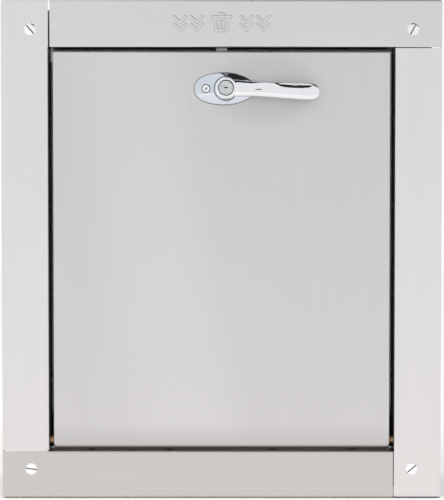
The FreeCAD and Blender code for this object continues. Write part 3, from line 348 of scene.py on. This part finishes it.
bright_zinc = small_metal("bright_zinc", (0.78, 0.80, 0.82), (0.93, 0.95, 0.96), 0.10)
oiled_bronze = small_metal("oiled_bronze", (0.16, 0.10, 0.05), (0.36, 0.24, 0.13), 0.22,
                           320.0, 0.2)
drawn_wire = small_metal("drawn_spring_wire", (0.16, 0.16, 0.17), (0.34, 0.34, 0.35), 0.22, 140.0)
satin_rivet = small_metal("satin_rivet", (0.62, 0.63, 0.65), (0.80, 0.81, 0.82), 0.28, 200.0)
dull_zinc = small_metal("dull_zinc", (0.34, 0.34, 0.34), (0.50, 0.50, 0.49), 0.34, 120.0)
lock_nickel = small_metal("lock_nickel", (0.52, 0.54, 0.55), (0.60, 0.62, 0.63), 0.20,
                          160.0, 0.06)
plated_bracket = small_metal("plated_bracket", (0.50, 0.50, 0.50), (0.70, 0.70, 0.69), 0.24, 45.0,
                             painted_shade=(0.02, 0.2, 0.7))
print("finishes so far:", len(bpy.data.materials))


# %% [markdown]
# ## Polished chrome
#
# Chrome has almost no colour of its own.  What makes it believable is a very low roughness,
# broken by a faint haze of cleaning swirls and by a slow waviness of the casting underneath,
# so that reflections bend a little.

# %% Chrome
def chrome(name, dark, light):
    """Polished plating over a slightly wavy casting, hazed where hands touch it."""
    material, place = finish(name, Metallic=1.0)
    swirl = place.noise(420.0, 3.0, 0.6)
    wave = place.noise(55.0, 1.0)
    wear = place.near(hand_spot, 0.09) * place.noise(70.0, 4.0, 0.6).between(0.45, 0.7)
    colour = wave.blend(dark, light)
    rough = 0.035 + 0.035 * swirl + 0.05 * wear
    # painted shade: closed-in chrome is painted dull black
    return connect(material, bump=wave * 0.8 + swirl * 0.02, height=0.00004,
                   painted_shade=(0.0022, 0.25, 0.8), Base_Color=colour, Roughness=rough)


polished_chrome = chrome("polished_chrome", (0.75, 0.77, 0.80), (0.82, 0.83, 0.85))
# The base's chrome is made darker and bluer as a painted reflection of a cool surrounding.
chrome_blue_reflection = chrome("chrome_blue_reflection", (0.57, 0.62, 0.70), (0.64, 0.69, 0.76))
print("made", polished_chrome.name, "and", chrome_blue_reflection.name)


# %% [markdown]
# ## Rubber and mineral wool
#
# The smoke seals and the stop buffers are black rubber: nearly matt, faintly dusty, with fine
# pores.  The core is pressed mineral wool, which shows only where a panel is
# taken off, so a fibrous mix of two stretched noises is enough.

# %% Rubber and wool
def rubber():
    """Black rubber, faintly dusty and finely pored."""
    material, place = finish("seal_rubber", Specular_IOR_Level=0.35)
    dust = place.noise(160.0, 4.0, 0.7).between(0.5, 0.8)
    pore = place.noise(1400.0, 2.0)
    colour = dust.blend((0.018, 0.018, 0.019), (0.055, 0.053, 0.05))
    return connect(material, bump=pore, height=0.00003,
                   Base_Color=colour, Roughness=0.55 + 0.25 * dust)


def wool():
    """Pressed fibres, mostly along one direction."""
    material, place = finish("mineral_wool", Roughness=0.95)
    fibre = place.stretched(260.0, 2600.0, 700.0).noise(1.0, 4.0, 0.7)
    cross = place.stretched(1500.0, 260.0, 300.0).noise(1.0, 3.0, 0.6)
    mix = fibre * 0.6 + cross * 0.4
    colour = mix.between(0.3, 0.7).blend((0.30, 0.25, 0.14), (0.62, 0.56, 0.38))
    return connect(material, bump=mix, height=0.0006, Base_Color=colour)


seal_rubber = rubber()
mineral_wool = wool()
print("made", seal_rubber.name, "and", mineral_wool.name)


# %% [markdown]
# ## Dressing the CAD pieces
#
# Each carried-over piece gets its finish from a short table of name beginnings, read in order, so
# a new screw or rivet is dressed without another line.  Assigning to the material slots leaves
# the mesh itself alone.

# %% Finish for every CAD node
DRESS = [
    ("stile_", steel_upright), ("rail_top", steel_level), ("rail_bottom", steel_sill_shaded),
    ("leaf_front_pan", steel_leaf), ("leaf_core", mineral_wool),
    ("leaf_back_pan", galvanised_sheet), ("sleeve_rivets", satin_rivet),
    ("sleeve_", galvanised_sheet), ("wing_rivets", satin_rivet), ("wing_", galvanised_sheet),
    ("strike_rivets", satin_rivet), ("frame_rivets", satin_rivet), ("hinge_bush", oiled_bronze),
    ("hinge_bracket", plated_bracket), ("hinge_block", plated_bracket),
    ("strike_box", plated_bracket), ("latch_case", plated_bracket),
    ("latch_cover_screws", bright_zinc), ("latch_cover", galvanised_sheet),
    ("corner_clips", plated_bracket), ("handle_base_screws", bright_zinc),
    ("handle_base", polished_chrome), ("lever_handle", polished_chrome),
    ("lock_plug", lock_nickel), ("smoke_seal", seal_rubber), ("stop_buffer", seal_rubber),
    ("closer_spring", drawn_wire), ("latch_spring", drawn_wire), ("latch_bolt", dull_zinc),
    ("", bright_zinc),
]


def dress(obj, material):
    """Puts one material in every slot of a piece."""
    if not obj.material_slots:
        obj.data.materials.append(material)
    for spot in obj.material_slots:
        spot.material = material


for name, obj in frame["nodes"].items():
    dress(obj, next(material for start, material in DRESS if name.startswith(start)))
print("dressed", len(frame["nodes"]), "CAD nodes")


# %% [markdown]
# ## Meshes from rings
#
# Cast and extruded pieces are built from rings of points that are bridged in order.  Rings are
# easier to control than a loft of surfaces, and they take subdivision well: a ring close to
# another keeps an edge crisp, and ends are closed with one face.

# %% Bridge rings into a mesh
def ring_mesh(name, rings, body, material, levels=2, hollow=False):
    """A piece whose rings, which have the same number of points, are joined in order.

    A solid piece gets a face on each end.  In a hollow one the last ring joins the first."""
    mesh = bmesh.new()
    loops = [[mesh.verts.new(p) for p in ring] for ring in rings]
    count = len(rings[0])
    for low, high in zip(loops, loops[1:] + (loops[:1] if hollow else [])):
        for k in range(count):
            mesh.faces.new((low[k], low[(k + 1) % count], high[(k + 1) % count], high[k]))
    if not hollow:
        mesh.faces.new(reversed(loops[0]))
        mesh.faces.new(loops[-1])
    bmesh.ops.recalc_face_normals(mesh, faces=mesh.faces)
    return piece_from(name, mesh, body, material, levels)


def piece_from(name, mesh, body, material, levels=2):
    """Turns a bmesh into a smooth, subdivided piece that rides on a body."""
    data = bpy.data.meshes.new(name)
    mesh.to_mesh(data)
    mesh.free()
    for face in data.polygons:
        face.use_smooth = True
    obj = bpy.data.objects.new(name, data)
    bpy.context.scene.collection.objects.link(obj)
    dress(obj, material)
    if levels:
        surface = obj.modifiers.new("smooth", "SUBSURF")
        surface.levels = surface.render_levels = levels
    if body:
        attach(obj, body)
    return obj


# %% [markdown]
# ## The handle base
#
# A cast escutcheon: egg-shaped, blunt behind the lock and pointed under the lever.  Its outline
# is one short function.  The half under the lever is an ellipse whose height shrinks towards the
# point, and the other half is a fuller curve than an ellipse.  Rings of that outline climb the
# rim, turn over a soft shoulder and run up the crown to the round boss under the hub.

# %% Egg-shaped base
base_low, base_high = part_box("handle_base")
leaf_face_y = base_high.y
spindle_low, spindle_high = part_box("spindle")
axis_x = (spindle_low.x + spindle_high.x) / 2
axis_z = (spindle_low.z + spindle_high.z) / 2
base_left, base_right = base_low.x - axis_x, base_high.x - axis_x
base_half = (base_high.z - base_low.z) / 2
BASE_POINTS = 96
BLUNT = 0.87                # 1 makes the blunt half an ellipse, less makes it fuller
POINTED, TAPER = 0.16, 1.5  # height lost at the point, and how late the loss sets in
BOSS_R = 13.8 * MM


def egg(angle):
    """Point of the base's outline at an angle, from the handle axis."""
    c, s = math.cos(angle), math.sin(angle)
    if c < 0:
        return abs(c) ** BLUNT * base_left, math.copysign(abs(s) ** BLUNT, s) * base_half
    return c * base_right, s * base_half * (1.0 - POINTED * c ** TAPER)


def base_ring(inward, height):
    """Ring at a height above the leaf; inward is 0 on the outline, 1 on the boss, 2 on the axis."""
    ring = []
    for k in range(BASE_POINTS):
        x, z = egg(2 * math.pi * k / BASE_POINTS)
        reach = math.hypot(x, z)
        wanted = reach + (BOSS_R - reach) * inward if inward <= 1 else BOSS_R * (2 - inward)
        ring.append((axis_x + x * wanted / reach, leaf_face_y - height,
                     axis_z + z * wanted / reach))
    return ring


# share of the way from the outline to the boss, height above the leaf in millimetres
crown = [(0.0, 0.5), (0.0, 1.5), (0.0, 2.1), (0.012, 2.5), (0.04, 2.85)]
crown += [(t / 10, 2.75 + 4.35 * t / 10) for t in range(1, 10)]
crown += [(0.985, 7.1), (1.0, 7.2), (1.005, 7.8), (1.03, 8.0), (1.2, 8.05), (1.6, 8.05)]
escutcheon = ring_mesh("handle_escutcheon", [base_ring(t, h * MM) for t, h in crown], None,
                       chrome_blue_reflection, levels=1)


# %% [markdown]
# The two screw seats are cut with a boolean after the crown is smooth, because a seat needs a
# crisp edge that subdivision would melt.  The cutter is a plain drum that is thrown away, and the
# result is baked to a mesh, so no helper object stays in the scene.

# %% Cut round seats
SEAT_R, SEAT_FLOOR = 5.0 * MM, 3.2 * MM
SCREW_HEAD_R = 4.0 * MM


def drum(name, centre, radius, depth, sides=64):
    """A cutter: a drum along Y from centre towards the viewer, longer than the cut is deep."""
    mesh = bmesh.new()
    turn = Matrix.Rotation(math.pi / 2, 4, "X")
    place = Matrix.Translation(Vector(centre) - Vector((0, depth / 2, 0))) @ turn
    bmesh.ops.create_cone(mesh, cap_ends=True, segments=sides, radius1=radius, radius2=radius,
                          depth=depth, matrix=place)
    return piece_from(name, mesh, None, polished_chrome, levels=0)


def carve(obj, cutters):
    """Cuts each cutter from obj, then keeps only the finished mesh."""
    for cutter in cutters:
        cut = obj.modifiers.new("cut", "BOOLEAN")
        cut.operation = "DIFFERENCE"
        cut.solver = "EXACT"
        cut.object = cutter
    settle(obj)
    for cutter in cutters:
        bpy.data.objects.remove(cutter)


def settle(obj):
    """Applies every modifier of a piece."""
    bpy.context.view_layer.update()
    graph = bpy.context.evaluated_depsgraph_get()
    done = bpy.data.meshes.new_from_object(obj.evaluated_get(graph))
    obj.modifiers.clear()
    obj.data = done


def shade_by_angle(obj, degrees=32.0):
    """Smooth shading with sharp edges where two faces meet at more than that angle."""
    mesh = bmesh.new()
    mesh.from_mesh(obj.data)
    limit = math.radians(degrees)
    for face in mesh.faces:
        face.smooth = True
    for edge in mesh.edges:
        edge.smooth = len(edge.link_faces) == 2 and edge.calc_face_angle(0) < limit
    mesh.to_mesh(obj.data)
    mesh.free()


def oval(name, centre, half_long, half_high, front, back):
    """A cutter: a flat oval bar along Y; centre is (x, z)."""
    turns = [2 * math.pi * k / 40 for k in range(40)]
    rings = [[(centre[0] + half_long * math.cos(a), y, centre[1] + half_high * math.sin(a))
              for a in turns] for y in (front, back)]
    return ring_mesh(name, rings, None, polished_chrome, levels=0)


screw_low, screw_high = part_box("handle_base_screws")
screw_reach = (screw_high.x - screw_low.x) / 2 - SCREW_HEAD_R
seat_floor = leaf_face_y - SEAT_FLOOR
seats = [drum(f"seat_{k}", (axis_x + side * screw_reach, seat_floor, axis_z), SEAT_R, 30 * MM)
         for k, side in enumerate((-1, 1))]
carve(escutcheon, seats)
shade_by_angle(escutcheon)
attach(escutcheon, "door")
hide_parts("handle_base")
print("escutcheon faces:", len(escutcheon.data.polygons))


# %% [markdown]
# ## The gasket under the base
#
# A thin black gasket keeps water out of the screw holes, and it draws the dark line round the
# base, where its black also stands in as painted shade along the edge.  It has to stand out by the
# same distance all round, so its outer rings are moved along the outline's own outward direction;
# scaling the outline would make the line uneven.

# %% Gasket
def base_outline(outward, height):
    """Ring outside the base's outline by one distance all round, at a height above the leaf."""
    ring = []
    for k in range(BASE_POINTS):
        angle = 2 * math.pi * k / BASE_POINTS
        (x, z), (x0, z0), (x1, z1) = egg(angle), egg(angle - 0.02), egg(angle + 0.02)
        step = math.hypot(x1 - x0, z1 - z0)
        ring.append((axis_x + x + outward * (z1 - z0) / step, leaf_face_y - height,
                     axis_z + z - outward * (x1 - x0) / step))
    return ring


GASKET_PROUD, GASKET_T = 0.45 * MM, 0.5 * MM
GASKET_INNER = 0.2
gasket_rings = [base_outline(GASKET_PROUD, 0.0), base_outline(GASKET_PROUD, GASKET_T),
                base_ring(GASKET_INNER, GASKET_T), base_ring(GASKET_INNER, 0.0)]
gasket = ring_mesh("handle_gasket", gasket_rings, "door", seal_rubber, levels=0,
                   hollow=True)
print("gasket faces:", len(gasket.data.polygons))


# %% [markdown]
# ## The lever
#
# The lever is one casting: a round hub that carries the lock, a waisted neck that rises away from
# the leaf, and a broad grip with a thumb scoop along its upper edge.  Hub and arm are made as two
# closed meshes that run into each other, then a voxel remesh welds them and a little smoothing
# gives the soft fillet of a polished casting.  A boolean union would leave a knife-sharp seam.

# %% Lever stations
plug_low, plug_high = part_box("lock_plug")
PLUG_PROUD = 0.4 * MM
lock_face = plug_low.y + PLUG_PROUD
SCOOP_AT, SCOOP_HALF = 77.0, 21.0       # middle and half length, along the arm from the axis
SCOOP_LINE, SCOOP_DEPTH = 0.80, 2.5     # share of the half width where it is deepest
SCOOP_ABOVE, SCOOP_BELOW = 0.06, 0.32   # steep towards the upper edge, gentle below
SQUARISH = 0.55                         # 1 makes the arm's section an oval, less squares it off
# distance from the axis, drop of the centreline, half width, front and back from the lock face
STATIONS = [
    (-2.0, 0.2, 9.9, 1.0, 15.5), (10.0, 0.3, 9.6, 0.5, 15.4), (22.0, 0.8, 9.0, 0.4, 14.5),
    (36.0, 1.5, 8.4, -0.9, 11.6), (56.0, 2.6, 8.8, -4.4, 7.4), (76.0, 3.7, 9.2, -5.5, 5.4),
    (92.0, 4.3, 9.3, -4.8, 5.2), (99.5, 4.5, 7.9, -4.1, 4.8), (103.2, 4.6, 4.4, -3.0, 3.8),
    (104.3, 4.6, 1.6, -1.6, 2.6),
]


def eased(rows, per_span):
    """Rows of numbers with smooth rows added between them (Catmull-Rom)."""
    full = []
    for k in range(len(rows) - 1):
        p0, p1 = rows[max(k - 1, 0)], rows[k]
        p2, p3 = rows[k + 1], rows[min(k + 2, len(rows) - 1)]
        for step in range(per_span):
            t = step / per_span
            full.append(tuple(
                0.5 * (2 * b + (c - a) * t + (2 * a - 5 * b + 4 * c - d) * t * t
                       + (3 * b - a - 3 * c + d) * t ** 3)
                for a, b, c, d in zip(p0, p1, p2, p3)))
    return full + [rows[-1]]


def scoop(dx, across):
    """Depth of the thumb scoop at a distance along and a share of the half width across."""
    along = max(0.0, 1.0 - ((dx - SCOOP_AT) / SCOOP_HALF) ** 2)
    wide = SCOOP_ABOVE if across > SCOOP_LINE else SCOOP_BELOW
    return SCOOP_DEPTH * along * math.exp(-((across - SCOOP_LINE) / wide) ** 2)


def lever_ring(dx, drop, half, front, back, points=120):
    """Section of the arm: a squarish oval, with its front pressed in by the scoop."""
    ring = []
    for k in range(points):
        a = 2 * math.pi * k / points
        c, s = math.cos(a), math.sin(a)
        across = math.copysign(abs(s) ** SQUARISH, s)
        deep = math.copysign(abs(c) ** SQUARISH, c)
        y = (front + back) / 2 - deep * (back - front) / 2
        if deep > 0:
            y += scoop(dx, across)
        ring.append((axis_x + dx * MM, lock_face + y * MM, axis_z + (across * half - drop) * MM))
    return ring


def lathe_rings(centre, profile, points=96):
    """Rings round the Y axis through centre: profile is (radius, y) in metres."""
    turns = [2 * math.pi * k / points for k in range(points)]
    return [[(centre[0] + r * math.cos(a), y, centre[1] + r * math.sin(a)) for a in turns]
            for r, y in profile]


# %% [markdown]
# The hub is turned about the lock's axis.  It stands a third of a millimetre clear of the base,
# narrows towards the lock and ends in a flat lip.  After welding, the lock's seat is cut in the
# front and the smooth casting keeps its crisp round edge there.  The short slot in the neck is
# the gate mark, where the metal ran into the mould.

# %% Weld hub and arm
LOCK_SEAT_R, LOCK_SEAT_DEPTH = 8.9 * MM, 2.2 * MM
GATE_X, GATE_Z, GATE_DEPTH = 36.3 * MM, -1.9 * MM, 0.5 * MM
GATE_LONG, GATE_HIGH = 4.2 * MM, 0.5 * MM

arm = ring_mesh("lever_arm", [lever_ring(*row) for row in eased(STATIONS, 8)], None,
                polished_chrome, levels=0)
hub_back = lever_high.y
# radius and distance towards the front, in millimetres, from the back of the hub to its lip
HUB = [(0.5, 0.0), (12.9, 0.0), (13.3, -0.5), (13.2, -2.0), (12.7, -9.0), (12.2, -17.0),
       (12.0, -20.5), (11.6, -21.4), (0.5, -21.6)]
hub_rings = lathe_rings((axis_x, axis_z), [(r * MM, hub_back + y * MM) for r, y in HUB])
hub = ring_mesh("lever_hub", hub_rings, None, polished_chrome, levels=0)

welded = bmesh.new()
welded.from_mesh(arm.data)
welded.from_mesh(hub.data)
for spare in (arm, hub):
    bpy.data.objects.remove(spare)
lever = piece_from("lever_casting", welded, None, polished_chrome, levels=0)
weld = lever.modifiers.new("weld", "REMESH")
weld.mode = "VOXEL"
weld.voxel_size = 0.5 * MM
polish = lever.modifiers.new("polish", "SMOOTH")
polish.factor, polish.iterations = 0.5, 7
settle(lever)
lock_seat = drum("lock_seat", (axis_x, lock_face + LOCK_SEAT_DEPTH, axis_z), LOCK_SEAT_R, 20 * MM)
gate_mark = oval("gate_mark", (axis_x + GATE_X, axis_z + GATE_Z), GATE_LONG, GATE_HIGH,
                 lock_face - 12 * MM, lock_face + GATE_DEPTH)
carve(lever, [lock_seat, gate_mark])
shade_by_angle(lever, 40.0)
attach(lever, "lever")
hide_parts("lever_handle")
reach = max(v.co.x for v in lever.data.vertices)
print("lever faces:", len(lever.data.polygons), "reach in mm:", round((reach - axis_x) / MM, 1))


# %% [markdown]
# ## The lock
#
# The cylinder's face is satin nickel, a shade darker than the chrome round it.  It is turned like
# the hub, with a broken edge and a slightly dished face, and the keyway is cut through that.  A
# black dust ring fills the seat round it, which is why a lock shows as a dark circle.  A second
# dark circle is the nylon washer that lets the hub turn on the base.

# %% Cylinder face, dust ring and washer
def hoop(name, outline, place, body, sides=72):
    """A rubber ring turned from a closed outline of (radius, along).

    place(u, v, along) gives the point in space."""
    turns = [2 * math.pi * k / sides for k in range(sides)]
    rings = [[place(r * math.cos(a), r * math.sin(a), along) for a in turns]
             for r, along in outline]
    ring = ring_mesh(name, rings, body, seal_rubber, levels=0, hollow=True)
    shade_by_angle(ring, 40.0)
    return ring


def in_mm(*pairs):
    """Turns pairs of millimetres into metres."""
    return [(a * MM, b * MM) for a, b in pairs]


plug_depth = (plug_high.y - plug_low.y) / MM
# radius and depth behind the front, in millimetres, from the back of the cylinder to its middle
CORE = [(0.4, plug_depth), (8.0, plug_depth), (8.0, 0.5), (7.9, 0.2), (7.55, 0.0), (7.2, 0.02),
        (4.0, 0.18), (0.4, 0.25)]
core_rings = lathe_rings((axis_x, axis_z), [(r * MM, plug_low.y + y * MM) for r, y in CORE])
lock_core = ring_mesh("lock_cylinder", core_rings, None, lock_nickel, levels=0)
KEYWAY_LONG, KEYWAY_HIGH, KEYWAY_DEPTH = 2.3 * MM, 0.75 * MM, 6 * MM
keyway = oval("keyway", (axis_x, axis_z), KEYWAY_LONG, KEYWAY_HIGH,
              plug_low.y - 5 * MM, plug_low.y + KEYWAY_DEPTH)
carve(lock_core, [keyway])
shade_by_angle(lock_core, 25.0)
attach(lock_core, "lock")
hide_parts("lock_plug")

hoop("lock_dust_ring", in_mm((8.08, 2.1), (8.85, 2.1), (8.85, 0.5), (8.45, 0.3), (8.08, 0.5)),
     lambda u, v, along: (axis_x + u, lock_face + along, axis_z + v), "lever")
washer = hoop("hub_washer", in_mm((9.0, 0.04), (13.75, 0.04), (13.75, 0.26), (9.0, 0.26)),
              lambda u, v, along: (axis_x + u, hub_back + along, axis_z + v), "lever")
print("lock faces:", len(lock_core.data.polygons), "washer faces:", len(washer.data.polygons))


# %% [markdown] ## Coil springs  A spring is a tube that follows a helix, so one function makes
# both sizes. The closer springs sit round the hinge pins with one end on the frame and the other
# on the turning collar.

# %% Springs
def coil_mesh(name, start, end, radius, wire, turns, body=None, sides=12, per_turn=28):
    """A coil whose axis runs from start to end, wound at an even pitch."""
    start, end = Vector(start), Vector(end)
    axis = (end - start).normalized()
    side = axis.orthogonal().normalized()
    other = axis.cross(side)
    length = (end - start).length
    rings = []
    steps = int(turns * per_turn)
    for k in range(steps + 1):
        t = k / steps
        a = 2 * math.pi * turns * t
        out = side * math.cos(a) + other * math.sin(a)
        centre = start + axis * (wire + (length - 2 * wire) * t) + out * radius
        rings.append([centre + (out * math.cos(b) + axis * math.sin(b)) * wire
                      for b in (2 * math.pi * j / sides for j in range(sides))])
    return ring_mesh(name, rings, body, drawn_wire, levels=1)


CLOSER_WIRE, CLOSER_TURNS = 1.5 * MM, 5
LATCH_WIRE, LATCH_TURNS = 0.4 * MM, 12
for side in ("left", "right"):
    low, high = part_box("closer_spring_" + side)
    radius = (high.z - low.z) / 2 - CLOSER_WIRE
    middle = ((low.y + high.y) / 2, (low.z + high.z) / 2)
    inner, outer = (high.x, low.x) if side == "left" else (low.x, high.x)
    ends = [(x, *middle) for x in (inner, outer)]
    spring = coil_mesh("closer_coil_" + side, *ends, radius, CLOSER_WIRE, CLOSER_TURNS)
    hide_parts("closer_spring_" + side)
    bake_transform(spring)

low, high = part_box("latch_spring")
centre = ((low.x + high.x) / 2, (low.y + high.y) / 2)
latch_coil = coil_mesh("latch_coil", (*centre, low.z), (*centre, high.z),
                       (high.x - low.x) / 2 - LATCH_WIRE, LATCH_WIRE, LATCH_TURNS, "door")
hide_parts("latch_spring")
bolt_travel = next(j for j in frame["joints"] if j["name"] == "bolt_slide")["range_m"][1]
1 - bolt_travel / (high.z - low.z)
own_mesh(latch_coil)
print("closer coil radius in mm:", round(radius / MM, 2))


# %% [markdown]
# ## Smoke seals
#
# The seals are extruded rubber: a flat tail that is glued to the stop and a bulb that the leaf
# rests on.  An extrusion is one section carried along a line, here with the slightest waviness,
# because rubber is never laid dead straight.  The bulb fills the depth of the CAD solid and stays
# a few tenths clear of the closed leaf.

# %% Extruded seals
SEAL_STEPS, SEAL_WAVE = 60, 0.12 * MM
BULB_AT, BULB_R = 0.36, 0.30            # shares of the seal's width
BULB_BASE, BULB_RISE = 0.42, 0.58       # shares of its depth
TAIL_T = 0.22


def seal_section(width, depth):
    """Outline of the seal: across its width and out of the stop, counter-clockwise."""
    turns = [math.radians(d) for d in range(-20, 201, 20)]
    bulb = [(BULB_AT * width + BULB_R * width * math.cos(a),
             depth * (BULB_BASE + BULB_RISE * math.sin(a))) for a in turns]
    return [(width, 0.0), (width, TAIL_T * depth)] + bulb + [(0.0, 0.0)]


def seal(node, name, along):
    """Replaces a seal node by its extrusion; along is the axis it runs on, 0 or 2."""
    low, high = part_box(node)
    across = 2 - along
    width, depth = high[across] - low[across], high.y - low.y
    outline = seal_section(width, depth)
    flip = (low[across] + high[across]) / 2 < 0
    rings = []
    for k in range(SEAL_STEPS + 1):
        t = k / SEAL_STEPS
        wave = SEAL_WAVE * math.sin(9.0 * t + 2.0 * along) * math.sin(math.pi * t)
        ring = []
        for u, out in outline:
            point = [0.0, high.y - out, 0.0]
            point[along] = low[along] + (high[along] - low[along]) * t
            edge = high[across] - u if flip else low[across] + u
            point[across] = edge + wave * (0 < u < width)
            ring.append(tuple(point))
        rings.append(ring)
    strip = ring_mesh(name, rings, "frame", seal_rubber, levels=0)
    shade_by_angle(strip, 50.0)
    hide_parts(node)
    return strip


seals = [seal("smoke_seal_" + side, "seal_strip_" + side, along)
         for side, along in (("left", 2), ("right", 2), ("top", 0))]
print("seal faces:", [len(s.data.polygons) for s in seals])


# %% [markdown]
# ## Smoke lips
#
# Below the stops, where the leaf's back edge swings, no seal can sit behind the leaf.  There a
# soft lip on each jamb return reaches into the side gap instead, short of the leaf's edge, so the
# gap stays dark and the draught stays out at every angle of the leaf.

# %% Lips in the side gaps
SIDE_GAP, LIP_CLEAR = 5.0 * MM, 0.7 * MM
LIP_STEPS = 12
leaf_low, leaf_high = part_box("leaf_front_pan")
lip_low, lip_high = leaf_low.z + 0.4 * MM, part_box("smoke_seal_left")[0].z
root = leaf_high.x + SIDE_GAP - 0.1 * MM
tip = leaf_high.x + LIP_CLEAR
# x and y of the wedge's outline, in metres
LIP = [(root, 0.0130), (root, 0.0240), (root - 0.0008, 0.0240), (tip, 0.0186), (tip, 0.0174),
       (root - 0.0012, 0.0145)]


def lip(side):
    """A wedge of rubber on one jamb return, below the side seal."""
    sign = -1 if side == "left" else 1
    rings = [[(sign * x, y, lip_low + (lip_high - lip_low) * k / LIP_STEPS) for x, y in LIP]
             for k in range(LIP_STEPS + 1)]
    strip = ring_mesh("smoke_lip_" + side, rings, "frame", seal_rubber, levels=0)
    shade_by_angle(strip, 35.0)


for side in ("left", "right"):
    lip(side)
print("lip height in mm:", round((lip_high - lip_low) / MM, 1))


# %% [markdown]
# ## Stop buffers
#
# A grooved rubber sleeve on each stop bolt takes the knock when the leaf reaches either end of
# its slot.  It is a lathe shape along X, so its rings are turned from a short list of radii.

# %% Rubber sleeves
BUFFER_BORE = 3.55 * MM
GROOVES, GROOVE_DEPTH = 4, 0.5 * MM


def buffer_sleeve(side):
    """Replaces one stop buffer with a sleeve that has broken ends and grooves."""
    node = "stop_buffer_" + side
    low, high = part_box(node)
    middle = ((low.y + high.y) / 2, (low.z + high.z) / 2)
    outer = (high.z - low.z) / 2
    inner = outer - GROOVE_DEPTH
    length = high.x - low.x
    profile = [(BUFFER_BORE, 0.0), (inner, 0.0), (outer, GROOVE_DEPTH)]
    for k in range(GROOVES):
        at = length * (k + 1) / (GROOVES + 1)
        profile += [(outer, at - 0.7 * MM), (inner, at - 0.3 * MM),
                    (inner, at + 0.3 * MM), (outer, at + 0.7 * MM)]
    profile += [(outer, length - GROOVE_DEPTH), (inner, length), (BUFFER_BORE, length)]
    sleeve = hoop("buffer_sleeve_" + side, profile,
                  lambda u, v, along: (low.x + along, middle[0] + u, middle[1] + v),
                  "frame", sides=48)
    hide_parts(node)
    return sleeve


sleeves = [buffer_sleeve(side) for side in ("left", "right")]
print("sleeve faces:", [len(s.data.polygons) for s in sleeves])


# %% [markdown]
# ## Floor, light and camera
#
# Brushed metal shows the room it faces, so the room is most of the picture.  A bright, even world
# gives the pale grey of the sheet.  A glowing card on the floor in front lifts the lower half of
# the leaf, and a dark card above and to the right of the camera gives the chrome something black
# to reflect.  Cards are seen only in reflections.  One broad lamp above lights the matt things,
# which are the floor and the dull painted shade in the gaps, and it is left out of reflections,
# where it would glare.  The cards and the floor are stage pieces, which are not part of the object.

# %% Stage
def stage_board(name, corners, colour, glow=(0.0, 0.0, 0.0)):
    """A flat board through its corners, in one plain colour or glowing evenly."""
    data = bpy.data.meshes.new(name)
    data.from_pydata([Vector(c) for c in corners], [], [tuple(range(len(corners)))])
    board = bpy.data.objects.new(name, data)
    bpy.context.scene.collection.objects.link(board)
    material, _ = finish(name, Base_Color=colour, Roughness=0.9, Emission_Color=glow,
                         Emission_Strength=1.0)
    dress(board, material)
    return board


def level_board(x, front, back, z):
    """Corners of a level board from -x to x and from front to back, at a height z."""
    return [(-x, front, z), (x, front, z), (x, back, z), (-x, back, z)]


def reflector(name, corners, colour, glow=(0.0, 0.0, 0.0)):
    """A board that is seen only in reflections, so it shades neither the floor nor the camera."""
    board = stage_board(name, corners, colour, glow)
    board.visible_camera = board.visible_diffuse = board.visible_shadow = False
    return board


floor_z = cad_low.z - 0.5 * MM
face_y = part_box("stile_left")[0].y
FLOOR = 5.0                 # half the floor's width
stage_board("floor", level_board(FLOOR, -FLOOR, FLOOR, floor_z), (0.94, 0.915, 0.895))
reflector("dark_card", [(-0.12, -1.25, 1.25), (1.9, -1.25, 1.05), (1.9, 0.2, 1.5),
                        (-0.12, 0.2, 1.5)], (0.008, 0.008, 0.008))
reflector("bounce_card", level_board(1.5, -1.3, face_y - 4 * MM, floor_z + 1 * MM),
          (0.0, 0.0, 0.0), glow=(1.13, 1.085, 1.055))

world = bpy.data.worlds.new("studio")
world.use_nodes = True
sky = world.node_tree.nodes["Background"].inputs
sky["Color"].default_value = (1.0, 1.0, 1.0, 1.0)
sky["Strength"].default_value = 1.0
bpy.context.scene.world = world


def look(thing, place, target):
    """Puts a lamp or camera at a place and turns it to face a target."""
    thing.location = place
    thing.rotation_euler = (Vector(target) - Vector(place)).to_track_quat("-Z", "Y").to_euler()
    bpy.context.scene.collection.objects.link(thing)


def softbox(name, place, target, width, height, power):
    """A rectangular area lamp that looks at a target and lights matt things only."""
    data = bpy.data.lights.new(name, "AREA")
    data.shape, data.size, data.size_y, data.energy = "RECTANGLE", width, height, power
    lamp = bpy.data.objects.new(name, data)
    lamp.visible_glossy = False
    look(lamp, place, target)


softbox("key_above", place=(-0.3, -1.6, 2.2), target=(0, -0.5, floor_z),
        width=2.0, height=2.0, power=27.0)
print("floor at z in mm:", round(floor_z / MM, 1), "face at y in mm:", round(face_y / MM, 1))


# %% [markdown]
# ## Camera
#
# The camera stands square in front of the door, a little above its middle, and frames it tightly.
# The lens is worked out from the distance and the height to show, so both can be changed alone.

# %% Camera
DISTANCE = 2.2
PITCH = math.radians(2.34)
FILL = 0.9958              # share of the picture's height that the door takes up
metres_high = (cad_high.z - cad_low.z) * math.cos(PITCH) / FILL

camera_data = bpy.data.cameras.new("camera")
camera_data.sensor_width = 36.0
camera_data.lens = camera_data.sensor_width * DISTANCE / metres_high
camera = bpy.data.objects.new("camera", camera_data)
aim = Vector((0.5 * MM, face_y, 0.0))
look(camera, aim + Vector((0, -math.cos(PITCH), math.sin(PITCH))) * DISTANCE, aim)
camera_data.clip_start, camera_data.clip_end = 0.01, 100
bpy.context.scene.camera = camera
bpy.context.scene.view_settings.view_transform = "Standard"
print("lens in mm:", round(camera_data.lens, 1))


# %% [markdown]
